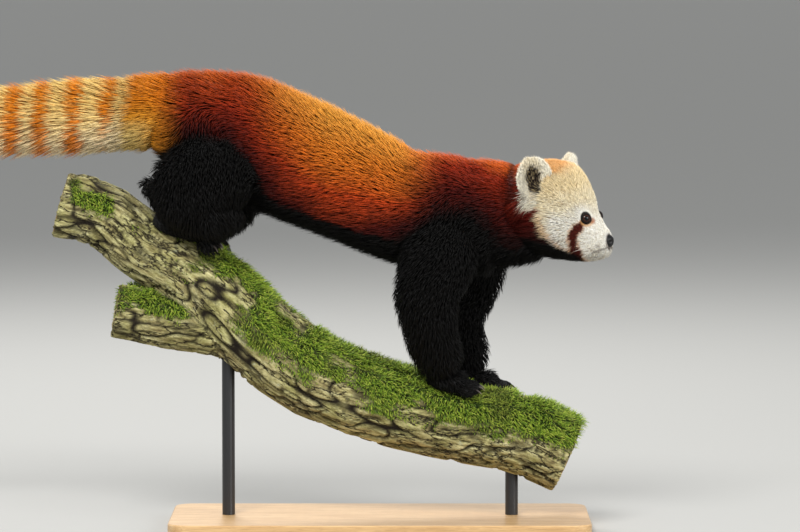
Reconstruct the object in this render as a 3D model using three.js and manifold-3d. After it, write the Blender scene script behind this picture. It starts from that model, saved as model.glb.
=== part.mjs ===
// A life-size red panda stepping down a cut length of branch, held on a plain display stand.
// Millimetres, +Z up, +X the way the animal faces. The origin is the centre of the base's underside.
import * as THREE from "three";
import { mergeVertices } from "three/addons/utils/BufferGeometryUtils.js";
import Module from "manifold-3d";

const wasm = await Module();
wasm.setup();

// Driving dimensions

const GAP = 0.3; // kept between pieces that touch
const RIGHT = -1; // the animal's right side faces -Y
const LEFT = 1;

const BASE = { length: 524, width: 216, thick: 15, corner: 22, bevel: 1.5 };
const ROD_RADIUS = 8;

const TAIL_CORE = 21; // radius of the tail under its hair
const TAIL_COAT = 46; // radius out to the tips
const TAIL_ROOT_LENGTH = 60; // the plain stretch before the rings
const DARK_RING = 14;
const LIGHT_RING = 19;
const RING_PAIRS = 9;
const TAIL_TIP_LENGTH = 58;
const TAIL_LOCKS = 7; // round each tier

const HEAD_YAW = -25; // degrees, turned to the animal's right
const POLL = new THREE.Vector3(187.5, -6, 410); // where the head sits on the neck
const EYE_RADIUS = 6.8;
const FORE_STRIDE = 38; // how far the left forefoot is ahead of the right one
const HIND_STRIDE = 10;
const THIGH_LEAD = 28; // the same for the left thigh
const TOES = 5;
const CLAW = { length: 12, radius: 2.2 };

const ACROSS = new THREE.Vector3(0, 1, 0);
const UP = new THREE.Vector3(0, 0, 1);

// Finishes

const finish = (color, roughness, metalness = 0) =>
  new THREE.MeshStandardMaterial({ color, roughness, metalness });
const FINISH = {
  coat: finish(0xa8521c, 0.9),
  black_coat: finish(0x0e0a09, 0.9),
  neck_coat: finish(0x7a2c10, 0.9),
  face: finish(0xe6dcc4, 0.9),
  ear: finish(0xece5d2, 0.9),
  light_ring: finish(0xe2b877, 0.9),
  dark_ring: finish(0xb5591c, 0.9),
  tail_tip: finish(0x3a1c10, 0.9),
  nose: finish(0x0b0b0c, 0.35),
  eye: finish(0x1a0f08, 0.1),
  bark: finish(0x7a6a48, 0.95),
  oak: finish(0xc9a877, 0.5),
  steel: finish(0x2a2a2c, 0.4, 0.8),
};

// Draws from one seeded sequence, so that every build is the same

let seed = 20240611;
function draw(low = 0, high = 1) {
  seed = (Math.imul(seed, 1664525) + 1013904223) >>> 0;
  return low + ((high - low) * seed) / 4294967296;
}
const ease = (x) => x * x * (3 - 2 * x);
const radians = THREE.MathUtils.degToRad;

// Solids: a geometry becomes a closed body, and bodies are joined and cut

function solid(geometry) {
  const bare = new THREE.BufferGeometry().setAttribute("position", geometry.getAttribute("position"));
  if (geometry.index) bare.setIndex(geometry.index);
  const merged = mergeVertices(bare, 1e-3);
  const kept = [];
  const { array } = merged.index;
  for (let i = 0; i < array.length; i += 3) {
    const [a, b, c] = [array[i], array[i + 1], array[i + 2]];
    if (a !== b && b !== c && c !== a) kept.push(a, b, c);
  }
  const made = closed(merged.attributes.position.array, kept);
  return made.volume() > 0 ? made : closed(merged.attributes.position.array, kept.reverse());
}

function closed(vertProperties, corners) {
  return new wasm.Manifold(new wasm.Mesh({ numProp: 3, vertProperties, triVerts: new Uint32Array(corners) }));
}

const join = (...bodies) => wasm.Manifold.union(bodies.flat(Infinity));
const cut = (body, ...tools) => tools.flat(Infinity).reduce((left, tool) => left.subtract(tool), body);

// A node keeps its largest closed surface.
function largest(body) {
  const parts = body.decompose();
  return parts.reduce((best, next) => (next.volume() > best.volume() ? next : best), parts[0]);
}

function geometryOf(body) {
  const { vertProperties, triVerts } = body.getMesh();
  return new THREE.BufferGeometry()
    .setAttribute("position", new THREE.BufferAttribute(new Float32Array(vertProperties), 3))
    .setIndex(new THREE.BufferAttribute(new Uint32Array(triVerts), 1));
}

function part(name, body, material) {
  const mesh = new THREE.Mesh(geometryOf(largest(body)), material);
  mesh.geometry.computeVertexNormals();
  mesh.name = name;
  return mesh;
}

// A body lofted through stations [x, y, z, half width, half height, pear], smooth between them and
// rounded at its ends. Pear widens the section below its middle. Upright sections stay vertical.
class Loft {
  constructor(stations, { sides = 18, steps = 18, upright = false, blunt = false, turn = 0 } = {}) {
    Object.assign(this, { stations, sides, steps, upright, blunt, turn });
    this.line = new THREE.CatmullRomCurve3(stations.map(([x, y, z]) => new THREE.Vector3(x, y, z)));
    this.form = new THREE.CatmullRomCurve3(
      stations.map(([, , , w, h, pear = 0]) => new THREE.Vector3(w, h, pear)),
    );
  }

  // The share of the full section at t, which falls off as an ellipse does towards each end.
  fullness(t) {
    if (this.blunt) return 1;
    const span = 1 / (this.stations.length - 1);
    const inward = Math.min(1, Math.min(t, 1 - t) / span);
    return Math.sqrt(Math.max(0, 1 - (1 - inward) ** 2));
  }

  frame(t) {
    const along = this.line.getTangent(t);
    const side = this.upright
      ? ACROSS.clone()
      : ACROSS.clone().addScaledVector(along, -ACROSS.dot(along)).normalize();
    const up = this.upright ? UP.clone() : along.clone().cross(side);
    return { centre: this.line.getPoint(t), along, side, up };
  }

  point(t, angle, grow = 0) {
    const { centre, side, up } = this.frame(t);
    const form = this.form.getPoint(t);
    const fullness = this.fullness(t);
    const rise = Math.sin(angle);
    const width = (form.x * fullness + grow) * Math.cos(angle) * (1 - form.z * rise);
    return centre.addScaledVector(side, width).addScaledVector(up, (form.y * fullness + grow) * rise);
  }

  // A place on the surface, with the way out of it and the way along the body.
  at(t, angle) {
    const point = this.point(t, angle);
    const along = this.point(Math.min(1, t + 0.01), angle).sub(this.point(Math.max(0, t - 0.01), angle));
    const round = this.point(t, angle + 0.03).sub(this.point(t, angle - 0.03));
    along.normalize();
    const out = round.cross(along).normalize();
    if (out.dot(point.clone().sub(this.line.getPoint(t))) < 0) out.negate();
    return { point, out, along };
  }

  geometry(grow = 0) {
    const tube = new THREE.CylinderGeometry(1, 1, 1, this.sides, this.steps);
    const place = tube.getAttribute("position");
    const stretch = this.blunt ? 0 : grow;
    for (let i = 0; i < place.count; i++) {
      const [x, y, z] = [place.getX(i), place.getY(i), place.getZ(i)];
      const even = THREE.MathUtils.clamp(y + 0.5, 0, 1);
      const t = this.blunt ? even : 0.65 * even + 0.35 * (0.5 - 0.5 * Math.cos(Math.PI * even));
      const onAxis = Math.hypot(x, z) < 0.5;
      const here = onAxis ? this.line.getPoint(t) : this.point(t, Math.atan2(z, x) + this.turn, grow);
      const outwards = even === 1 ? stretch : even === 0 ? -stretch : 0;
      here.addScaledVector(this.line.getTangent(t), outwards);
      place.setXYZ(i, here.x, here.y, here.z);
    }
    return tube;
  }

  solid(grow = 0) {
    return solid(this.geometry(grow));
  }
}

function placed(geometry, matrix) {
  return geometry.clone().applyMatrix4(matrix);
}

// An ellipsoid with its own axes: three half sizes along the columns of a basis.
function ellipsoid(centre, sizes, basis = new THREE.Matrix4(), wide = 16, high = 10) {
  const matrix = basis.clone().scale(new THREE.Vector3(...sizes)).setPosition(centre);
  return solid(placed(new THREE.SphereGeometry(1, wide, high), matrix));
}

// A flat, tapered lock of hair that leaves its root along `out` and bends over to lie along `lie`.
function lock({ root, out, lie, length, width, thick, lift, sink }) {
  const cone = new THREE.ConeGeometry(1, 1, 3, 3);
  const place = cone.getAttribute("position");
  const side = new THREE.Vector3().crossVectors(out, lie).normalize();
  const line = (t) =>
    root
      .clone()
      .addScaledVector(out, lift * Math.sin((t * Math.PI) / 2) - sink)
      .addScaledVector(lie, length * t);
  for (let i = 0; i < place.count; i++) {
    const t = place.getY(i) + 0.5;
    const taper = Math.max(1e-3, 1 - t);
    const [x, z] = [place.getX(i) / taper, place.getZ(i) / taper];
    const swell = (0.45 + 1.7 * t) * (1 - t) ** 0.8;
    const ahead = line(Math.min(1, t + 0.02)).sub(line(Math.max(0, t - 0.02))).normalize();
    const face = new THREE.Vector3().crossVectors(ahead, side).normalize();
    const here = line(t)
      .addScaledVector(side, (x * swell * width) / 2)
      .addScaledVector(face, (z * swell * thick) / 2);
    place.setXYZ(i, here.x, here.y, here.z);
  }
  return solid(cone);
}

// Locks over a stretch of a loft: rows along it and columns round it, each a little different.
// Flow is the way that the hair there points.
function locksOn(body, flow, { from, to, rows, angles, columns, length, lift }) {
  const made = [];
  for (let r = 0; r < rows; r++) {
    for (let c = 0; c < columns; c++) {
      const t = THREE.MathUtils.lerp(from, to, r / (rows - 1));
      const shift = (r % 2) * 0.4 + 0.3;
      const angle = THREE.MathUtils.lerp(angles[0], angles[1], (c + shift) / columns);
      const { point, out } = body.at(t + draw(-0.006, 0.006), radians(angle + draw(-3, 3)));
      const lie = flow.clone().add(new THREE.Vector3(draw(-0.1, 0.1), draw(-0.1, 0.1), draw(-0.1, 0.1)));
      lie.addScaledVector(out, -lie.dot(out)).normalize();
      const size = draw(0.85, 1.15);
      made.push(
        lock({ root: point, out, lie, length: length * size, width: 22 * size, thick: 4, lift, sink: 6 }),
      );
    }
  }
  return made;
}

// Longer hair that breaks the outline below: the chest, the belly, the elbows and the hocks
const FRINGE = {
  chest: { from: 0.8, to: 0.9, rows: 2, angles: [250, 290], columns: 2, length: 32, lift: 13 },
  belly: { from: 0.36, to: 0.56, rows: 3, angles: [246, 294], columns: 2, length: 38, lift: 12 },
  elbow: { from: 0.34, to: 0.58, rows: 2, angles: [250, 290], columns: 2, length: 32, lift: 12 },
  hock: { from: 0.42, to: 0.72, rows: 2, angles: [245, 295], columns: 2, length: 32, lift: 12 },
};

// The perch: one limb with a bent line, thick at its fork, and the stub of the fork

const limb = new Loft(
  [
    [-398, 0, 405, 41, 42],
    [-344, 0, 390, 41, 42],
    [-294, 0, 352, 42, 42],
    [-231, 0, 315, 47, 48],
    [-162, 0, 248, 51, 52],
    [-88, 0, 192, 52, 52],
    [6, 0, 155, 51, 51],
    [88, 0, 133, 50, 50],
    [169, 0, 119, 50, 50],
    [235, 0, 90, 48, 48],
  ],
  { sides: 14, steps: 16, blunt: true },
);
const fork = new Loft(
  [
    [-120, 0, 222, 30, 30],
    [-200, -2, 250, 36, 37],
    [-270, -6, 262, 34, 35],
    [-330, -12, 272, 32, 33],
  ],
  { sides: 14, steps: 5, blunt: true },
);

// The height of the limb's top at a place seen from above.
function limbTop(x, y) {
  let best = limb.line.getPoint(0);
  for (let t = 0; t <= 1; t += 0.005) {
    const here = limb.line.getPoint(t);
    if (Math.abs(here.x - x) < Math.abs(best.x - x)) best = here;
  }
  const t = [...Array(201).keys()].map((i) => i / 200).find((s) => limb.line.getPoint(s).x >= x) ?? 1;
  const { up } = limb.frame(t);
  const radius = limb.form.getPoint(t).y;
  return best.z + Math.sqrt(radius ** 2 - y ** 2) / Math.abs(up.z);
}

// The trunk of the animal

const torso = new Loft(
  [
    [-292, 0, 520, 50, 53],
    [-246, 0, 511, 61, 65, 0.06],
    [-178, 0, 491, 71, 80, 0.1],
    [-100, 0, 460, 77, 80, 0.12],
    [-25, 0, 427, 78, 76, 0.12],
    [25, 0, 404, 76, 73, 0.1],
    [81, 0, 393, 73, 76, 0.06],
    [134, 0, 389, 63, 69, 0.02],
    [176, -2, 382, 46, 56],
  ],
  { sides: 16, steps: 12 },
);
const neck = new Loft(
  [
    [70, 0, 400, 46, 54],
    [110, -1, 398, 54, 64],
    [140, -3, 396, 56, 67],
    [168, -7, 394, 56, 67, 0.04],
    [198, -14, 393, 53, 60, 0.06],
    [238, -26, 388, 42, 47],
  ],
  { sides: 14, steps: 7 },
);

// The head, in its own frame: x towards the nose, y to its left, z up, origin at the poll

const skull = new Loft(
  [
    [-28, 0, 1, 42, 40],
    [-4, 0, -1, 54, 48, 0.05],
    [24, 0, -5, 62, 57, 0.1],
    [44, 0, -9, 61, 59.5, 0.14],
    [58, 0, -13, 56, 59, 0.2],
    [69, 0, -20.5, 47.5, 53, 0.22],
    [80, 0, -32, 34.5, 42, 0.16],
    [89, 0, -42, 26, 31, 0.08],
    [98, 0, -48, 21, 22],
    [106, 0, -50, 16, 15.5],
    [112, 0, -50, 12, 11.5],
  ],
  { sides: 18, steps: 15, upright: true },
);
const headFrame = new THREE.Matrix4().makeRotationZ(radians(HEAD_YAW)).setPosition(POLL);

const EYE = { x: 82.5, y: 20.5, z: -19.5 };
const NOSE = { x: 108, z: -48.5, sizes: [7.2, 8.8, 8.8] };
const MOUTH = { z: -62, from: 62, to: 112, groove: 1.1, depth: 2.4, lip: 5, lipRise: 0.9 };
const EAR = { x: 29, y: 52, z: 26, width: 23, height: 31, thick: 9 };

// The ear's own basis: x across its width, y up its length, z out of its cup.
function earBasis(side) {
  const length = new THREE.Vector3(-4, 17 * side, 33).normalize();
  const outOfCup = new THREE.Vector3(0.66, 0.72 * side, 0.1);
  outOfCup.addScaledVector(length, -outOfCup.dot(length)).normalize();
  const width = length.clone().cross(outOfCup);
  return new THREE.Matrix4().makeBasis(width, length, outOfCup);
}

// A leaf with a round tip, narrower above, its edges bent towards the cup.
function leaf(side, { width, height, thick, raise = 0, forward = 0, bend = 0 }) {
  const sphere = new THREE.SphereGeometry(1, 12, 7);
  const place = sphere.getAttribute("position");
  for (let i = 0; i < place.count; i++) {
    const [x, y, z] = [place.getX(i), place.getY(i), place.getZ(i)];
    const narrow = 1 - 0.3 * Math.max(0, y) ** 1.5;
    place.setXYZ(i, x * width * narrow, y * height + raise, z * thick + forward + bend * x * x);
  }
  const matrix = earBasis(side).setPosition(EAR.x, EAR.y * side, EAR.z);
  return solid(placed(sphere, matrix));
}

function ear(side) {
  const shell = leaf(side, { ...EAR, raise: 7, bend: 4 });
  const cup = leaf(side, { width: 14, height: 20, thick: 9, raise: 6, forward: 7.5, bend: 3 });
  const basis = earBasis(side);
  const [width, length, outOfCup] = [0, 1, 2].map((i) => new THREE.Vector3().setFromMatrixColumn(basis, i));
  const middle = new THREE.Vector3(EAR.x, EAR.y * side, EAR.z);
  const fringe = [];
  const count = 7;
  for (let i = 0; i < count; i++) {
    const share = i / (count - 1);
    const turn = radians(THREE.MathUtils.lerp(200, 340, share));
    const root = middle
      .clone()
      .addScaledVector(width, Math.cos(turn) * 17 * -side)
      .addScaledVector(length, 5 + Math.sin(turn) * 20)
      .addScaledVector(outOfCup, 2);
    const lie = new THREE.Vector3(-0.75, 0.1 * side, -0.65).addScaledVector(width, draw(-0.15, 0.15));
    lie.addScaledVector(outOfCup, -lie.dot(outOfCup)).normalize();
    fringe.push(
      lock({ root, out: outOfCup, lie, length: draw(19, 25), width: 8, thick: 3, lift: 8, sink: 3 }),
    );
  }
  return cut(join(cut(shell, cup), fringe), skull.solid(GAP));
}

function eyeAt(side) {
  return new THREE.Vector3(EYE.x, EYE.y * side, EYE.z);
}

// The muzzle's lips and the line between them
function mouthSlab(height) {
  const slab = new THREE.BoxGeometry(MOUTH.to - MOUTH.from, 90, height, 6, 1, 1);
  const place = slab.getAttribute("position");
  const middle = (MOUTH.from + MOUTH.to) / 2;
  for (let i = 0; i < place.count; i++) {
    const forward = place.getX(i) / (MOUTH.to - MOUTH.from) + 0.5;
    const smile = 4.5 * (1 - forward) ** 2 - 1.5 * Math.sin(forward * Math.PI);
    place.setXYZ(i, place.getX(i) + middle, place.getY(i), place.getZ(i) + MOUTH.z + smile);
  }
  return solid(slab);
}

function ruff(side) {
  const made = [];
  const rows = [
    { t: 0.33, first: -6, count: 5, length: 30 },
    { t: 0.41, first: -14, count: 5, length: 27 },
  ];
  for (const { t, first, count, length } of rows) {
    for (let i = 0; i < count; i++) {
      const below = first - i * 14;
      const { point, out } = skull.at(t + i * 0.01, radians(side === LEFT ? below : 180 - below));
      const lie = new THREE.Vector3(-0.75, 0.12 * side, -0.45 - i * 0.06);
      lie.addScaledVector(out, -lie.dot(out)).normalize();
      const size = draw(0.9, 1.1);
      made.push(
        lock({ root: point, out, lie, length: length * size, width: 17, thick: 3.4, lift: 12, sink: 5 }),
      );
    }
  }
  return made;
}

function head(bodyTools) {
  const sides = [RIGHT, LEFT];
  const ruffs = cut(join(sides.map(ruff)), bodyTools);
  const lids = sides.map((side) => {
    const gaze = new THREE.Vector3(0.62, 0.78 * side, 0.05).normalize();
    const ring = new THREE.TorusGeometry(EYE_RADIUS - 1.1, 1.5, 4, 12);
    const turn = new THREE.Quaternion().setFromUnitVectors(UP, gaze);
    const place = eyeAt(side).addScaledVector(gaze, 3.9);
    return solid(placed(ring, new THREE.Matrix4().makeRotationFromQuaternion(turn).setPosition(place)));
  });
  const lips = mouthSlab(MOUTH.lip).intersect(skull.solid(MOUTH.lipRise));
  const mouthLine = mouthSlab(MOUTH.groove).subtract(skull.solid(-MOUTH.depth));
  const sockets = sides.map((side) => solidSphere(eyeAt(side), EYE_RADIUS + GAP));
  return cut(join(skull.solid(), lips, lids, ruffs), sockets, mouthLine, noseBody(GAP));
}

function solidSphere(centre, radius) {
  return ellipsoid(centre, [radius, radius, radius], new THREE.Matrix4(), 12, 8);
}

function noseBody(grow = 0) {
  const sizes = NOSE.sizes.map((size) => size + grow);
  return ellipsoid(new THREE.Vector3(NOSE.x, 0, NOSE.z), sizes, new THREE.Matrix4(), 12, 7);
}

function nose() {
  const nostrils = [RIGHT, LEFT].map((side) =>
    ellipsoid(
      new THREE.Vector3(NOSE.x + 6.4, 4.3 * side, NOSE.z - 0.5),
      [3.4, 2.1, 1.7],
      new THREE.Matrix4(),
      6,
      5,
    ),
  );
  return cut(noseBody(), nostrils);
}

// Legs and feet

function foreleg(side) {
  const step = side === LEFT ? FORE_STRIDE : 0;
  return new Loft(
    [
      [88 + 0.4 * step, 40 * side, 400, 26, 44],
      [74 + 0.9 * step, 54 * side, 345, 33, 48],
      [60 + 1.05 * step, 60 * side, 300, 31, 44],
      [62 + 0.85 * step, 54 * side, 255, 28, 37],
      [74 + 0.88 * step, 42 * side, 216, 25, 33],
      [88 + step, 28 * side, 190, 20, 24],
    ],
    { sides: 12, steps: 9 },
  );
}

function hindleg(side) {
  const step = side === LEFT ? HIND_STRIDE : 0;
  const lead = side === LEFT ? THIGH_LEAD : 0;
  const thigh = new Loft(
    [
      [-215 + 0.3 * lead, 34 * side, 500, 30, 50],
      [-208 + 0.6 * lead, 50 * side, 460, 36, 64],
      [-210 + 0.9 * lead, 58 * side, 424, 34, 72],
      [-192 + lead, 58 * side, 384, 26, 44],
    ],
    { sides: 14, steps: 8 },
  );
  const shank = new Loft(
    [
      [-166 + step, 58 * side, 396, 24, 26],
      [-205 + step, 56 * side, 398, 30, 36],
      [-248 + step, 48 * side, 404, 25, 29],
      [-286 + step, 38 * side, 421, 16, 17],
      [-304 + step, 34 * side, 430, 10, 10],
    ],
    { sides: 12, steps: 9 },
  );
  return { thigh, shank };
}

// A foot set on the limb, from heel to toes, with five toes and their claws in one body.
function foot({ heel, toe, y, inset, halfWidth, height, side }) {
  const stand = (x, share) => {
    const across = THREE.MathUtils.lerp(y, y - inset, share) * side;
    return new THREE.Vector3(x, across, limbTop(x, across) + height * 0.62);
  };
  const shares = [0, 0.35, 0.7, 1];
  const widths = [0.72, 0.86, 1, 0.86];
  const stations = shares.map((share, i) => {
    const x = THREE.MathUtils.lerp(heel, toe, share);
    const { x: px, y: py, z: pz } = stand(x, share);
    return [px, py, pz, halfWidth * widths[i], height * (1 - 0.16 * share)];
  });
  const sole = new Loft(stations, { sides: 8, steps: 5 });
  const made = [sole.solid()];
  const ahead = sole.line.getTangent(0.9);
  const sideways = ACROSS.clone().addScaledVector(ahead, -ACROSS.dot(ahead)).normalize();
  const up = ahead.clone().cross(sideways);
  for (let i = 0; i < TOES; i++) {
    const fan = (i / (TOES - 1)) * 2 - 1;
    const way = ahead.clone().addScaledVector(sideways, fan * 0.2).normalize();
    const root = sole.line
      .getPoint(0.86)
      .addScaledVector(sideways, fan * halfWidth * 0.74)
      .addScaledVector(up, -height * (0.1 + 0.3 * fan * fan))
      .addScaledVector(ahead, -5 * fan * fan);
    const flank = up.clone().cross(way).normalize();
    const basis = new THREE.Matrix4().makeBasis(way, flank, way.clone().cross(flank));
    const middle = root.clone().addScaledVector(way, 8);
    made.push(ellipsoid(middle, [14, halfWidth * 0.29, height * 0.52], basis, 5, 3));
    const tip = middle.clone().addScaledVector(way, 10).addScaledVector(up, 2);
    made.push(claw(tip, way, up));
  }
  return join(made);
}

// A curved claw that points forward and down.
function claw(root, way, up) {
  const cone = new THREE.ConeGeometry(CLAW.radius, CLAW.length, 3, 2);
  const place = cone.getAttribute("position");
  const side = way.clone().cross(up).normalize();
  for (let i = 0; i < place.count; i++) {
    const t = place.getY(i) / CLAW.length + 0.5;
    const here = root
      .clone()
      .addScaledVector(way, t * CLAW.length)
      .addScaledVector(up, -4.5 * t * t + place.getZ(i))
      .addScaledVector(side, place.getX(i));
    place.setXYZ(i, here.x, here.y, here.z);
  }
  return solid(cone);
}

// The tail: a core cut into rings, each with a tier of locks that lie over the rings behind it

const tailLine = new THREE.CatmullRomCurve3([
  new THREE.Vector3(-238, 0, 524),
  new THREE.Vector3(-345, 0, 515),
  new THREE.Vector3(-470, 4, 508),
  new THREE.Vector3(-590, 20, 496),
  new THREE.Vector3(-700, 44, 470),
]);
const TAIL_LENGTH = tailLine.getLength();

// A stretch of the tail's core, flat at its ends, with one flat side under each lock of its tier.
function tailCore(from, to, radius, { endRadius = radius, turn = 0, steps = 1 } = {}) {
  const spots = [0, 0.34, 0.67, 1].map((share) => {
    const s = THREE.MathUtils.lerp(from, to, share);
    const { x, y, z } = tailLine.getPointAt(s / TAIL_LENGTH);
    const r = THREE.MathUtils.lerp(radius, endRadius, share);
    return [x, y, z, r, r];
  });
  const turned = ((turn + 0.5) / TAIL_LOCKS) * Math.PI * 2;
  return new Loft(spots, { sides: TAIL_LOCKS, steps, blunt: true, turn: turned }).solid();
}

// One tier of locks round the tail, rooted at a distance along it.
function tailTier(at, { length, reach, turn = 0, core = TAIL_CORE }) {
  const width = 8 + 1.45 * Math.min(core, TAIL_CORE);
  const made = [];
  const share = Math.min(0.999, at / TAIL_LENGTH);
  const centre = tailLine.getPointAt(share);
  const along = tailLine.getTangentAt(share);
  const side = ACROSS.clone().addScaledVector(along, -ACROSS.dot(along)).normalize();
  const up = along.clone().cross(side);
  for (let i = 0; i < TAIL_LOCKS; i++) {
    const angle = ((i + turn) / TAIL_LOCKS) * Math.PI * 2 + draw(-0.03, 0.03);
    const out = side.clone().multiplyScalar(Math.cos(angle)).addScaledVector(up, Math.sin(angle));
    const root = centre.clone().addScaledVector(out, core);
    const sink = core * 0.4;
    made.push(
      lock({
        root,
        out,
        lie: along,
        length: length * draw(0.96, 1.04),
        width,
        thick: 3.4,
        lift: reach - core + sink + draw(-0.8, 0.8),
        sink,
      }),
    );
  }
  return made;
}

function tail(rumpTools) {
  const lockLength = 42;
  const rootTiers = [0.45, 0.8].map((share, i) =>
    tailTier(TAIL_ROOT_LENGTH * share, {
      length: lockLength,
      reach: TAIL_COAT + 9 * (1 - share),
      turn: (i % 2) * 0.5,
      core: TAIL_CORE + 12 * (1 - share),
    }),
  );
  const rootCore = tailCore(0, TAIL_ROOT_LENGTH - GAP, TAIL_CORE + 12, { endRadius: TAIL_CORE, steps: 3 });
  let ahead = largest(cut(join(rootCore, rootTiers), rumpTools));
  add(part("tail_root", ahead, FINISH.dark_ring));
  let at = TAIL_ROOT_LENGTH;
  for (let i = 0; i < RING_PAIRS * 2; i++) {
    const dark = i % 2 === 1;
    const width = dark ? DARK_RING : LIGHT_RING;
    const worn = 1 - 0.1 * ease(i / (RING_PAIRS * 2));
    const core = TAIL_CORE * (1 - 0.3 * ease(i / (RING_PAIRS * 2)));
    const turn = ((i + 1) % 2) * 0.5;
    const tier = tailTier(at + width * 0.45, { length: lockLength, reach: TAIL_COAT * worn, turn, core });
    const name = `tail_${dark ? "dark" : "light"}_ring_${String((i >> 1) + 1).padStart(2, "0")}`;
    const ring = largest(cut(join(tailCore(at, at + width - GAP, core, { turn }), tier), ahead));
    ahead = ring;
    add(part(name, ring, dark ? FINISH.dark_ring : FINISH.light_ring));
    at += width;
  }
  const core = TAIL_CORE * 0.7;
  const tiers = [0.1, 0.45].map((share, i) =>
    tailTier(at + TAIL_TIP_LENGTH * share, {
      length: lockLength * (1 - 0.2 * i),
      reach: TAIL_COAT * (0.84 - 0.24 * i),
      turn: i * 0.5,
      core: core * (1 - 0.25 * i),
    }),
  );
  const end = Math.min(TAIL_LENGTH - 1, at + TAIL_TIP_LENGTH * 0.8);
  const tipCore = tailCore(at, end, core, { endRadius: core * 0.45, steps: 2 });
  add(part("tail_tip", cut(join(tipCore, tiers), ahead), FINISH.tail_tip));
}

// The stand: a flat base and two rods up to the limb

function base() {
  const { length, width, thick, corner, bevel } = BASE;
  const [x, y] = [length / 2 - bevel, width / 2 - bevel];
  const outline = new THREE.Shape();
  outline.moveTo(-x + corner, -y);
  outline.lineTo(x - corner, -y);
  outline.absarc(x - corner, -y + corner, corner, -Math.PI / 2, 0);
  outline.absarc(x - corner, y - corner, corner, 0, Math.PI / 2);
  outline.absarc(-x + corner, y - corner, corner, Math.PI / 2, Math.PI);
  outline.absarc(-x + corner, -y + corner, corner, Math.PI, Math.PI * 1.5);
  const slab = new THREE.ExtrudeGeometry(outline, {
    depth: thick - 2 * bevel,
    bevelThickness: bevel,
    bevelSize: bevel,
    bevelSegments: 1,
    curveSegments: 3,
  });
  return solid(slab.translate(0, 0, bevel));
}

function rod(x, topTool) {
  const bottom = BASE.thick + GAP;
  const height = limbTop(x, 0) - 40 - bottom;
  const bar = new THREE.CylinderGeometry(ROD_RADIUS, ROD_RADIUS, height, 20).rotateX(Math.PI / 2);
  return cut(solid(bar.translate(x, 0, bottom + height / 2)), topTool);
}

// Everything in its place

const model = new THREE.Group();
const add = (...meshes) => model.add(...meshes);

const limbTool = limb.solid(GAP);
const torsoTool = torso.solid(GAP);
const headTool = solid(placed(skull.geometry(GAP), headFrame));

add(part("perch_limb", limb.solid(), FINISH.bark));
add(part("perch_fork", cut(fork.solid(), limbTool), FINISH.bark));
add(part("stand_base", base(), FINISH.oak));
add(part("stand_rod_rear", rod(-190, [limbTool, fork.solid(GAP)]), FINISH.steel));
add(part("stand_rod_front", rod(165, limbTool), FINISH.steel));

const underside = [
  locksOn(torso, new THREE.Vector3(-0.5, 0, -1), FRINGE.chest),
  locksOn(torso, new THREE.Vector3(-1, 0, -0.2), FRINGE.belly),
];
add(part("torso", cut(join(torso.solid(), underside), headTool), FINISH.coat));
add(part("neck", cut(neck.solid(), torsoTool, headTool), FINISH.neck_coat));

const hindlegTools = [];
for (const side of [RIGHT, LEFT]) {
  const name = side === RIGHT ? "right" : "left";
  const leg = foreleg(side);
  const step = side === LEFT ? FORE_STRIDE : 0;
  const forepaw = foot({
    heel: 56 + step, toe: 112 + 1.08 * step, y: 30, inset: 3, halfWidth: 23, height: 16, side,
  });
  const elbow = locksOn(leg, new THREE.Vector3(-0.45, 0, -1), FRINGE.elbow);
  const legBody = cut(join(leg.solid(), elbow), torsoTool, neck.solid(GAP));
  const legTool = leg.solid(GAP);
  add(part(`foreleg_${name}`, cut(legBody, limbTool), FINISH.black_coat));
  add(part(`forepaw_${name}`, cut(forepaw, limbTool, legTool), FINISH.black_coat));

  const { thigh, shank } = hindleg(side);
  const stride = side === LEFT ? HIND_STRIDE : 0;
  const hindfoot = foot({
    heel: -284 + stride, toe: -206 + stride, y: 31, inset: 3, halfWidth: 22, height: 17, side,
  });
  const hock = locksOn(thigh, new THREE.Vector3(-0.6, 0, -0.8), FRINGE.hock);
  const hindBody = cut(join(thigh.solid(), shank.solid(), hock), torsoTool, limbTool);
  const hindTool = join(thigh.solid(GAP), shank.solid(GAP));
  hindlegTools.push(hindTool);
  add(part(`hindleg_${name}`, hindBody, FINISH.black_coat));
  add(part(`hindfoot_${name}`, cut(hindfoot, limbTool, hindTool), FINISH.black_coat));
}

tail([torsoTool, hindlegTools]);

const headGroup = new THREE.Group();
headGroup.position.copy(POLL);
headGroup.rotation.z = radians(HEAD_YAW);
const intoHead = headFrame.clone().invert();
const bodyTools = [neck, torso].map((loft) => solid(placed(loft.geometry(GAP), intoHead)));
headGroup.add(part("head", head(bodyTools), FINISH.face));
headGroup.add(part("nose", nose(), FINISH.nose));
for (const side of [RIGHT, LEFT]) {
  const name = side === RIGHT ? "right" : "left";
  headGroup.add(part(`eye_${name}`, solidSphere(eyeAt(side), EYE_RADIUS), FINISH.eye));
  headGroup.add(part(`ear_${name}`, ear(side), FINISH.ear));
}
model.add(headGroup);

export default model;
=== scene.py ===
# %% [markdown]
# # A red panda stepping down a branch
# The solids of the animal, the perch and the stand come in as a fixed frame. This script dresses them:
# one skin under the whole animal, a coat of small hair tufts that lie along it, bark and moss on the
# perch, and oak and painted steel on the stand. All lengths are in metres, and MM turns millimetres
# into them.

import itertools
import math

import bmesh
import bpy
import numpy as np
from mathutils import Matrix, Vector


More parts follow.
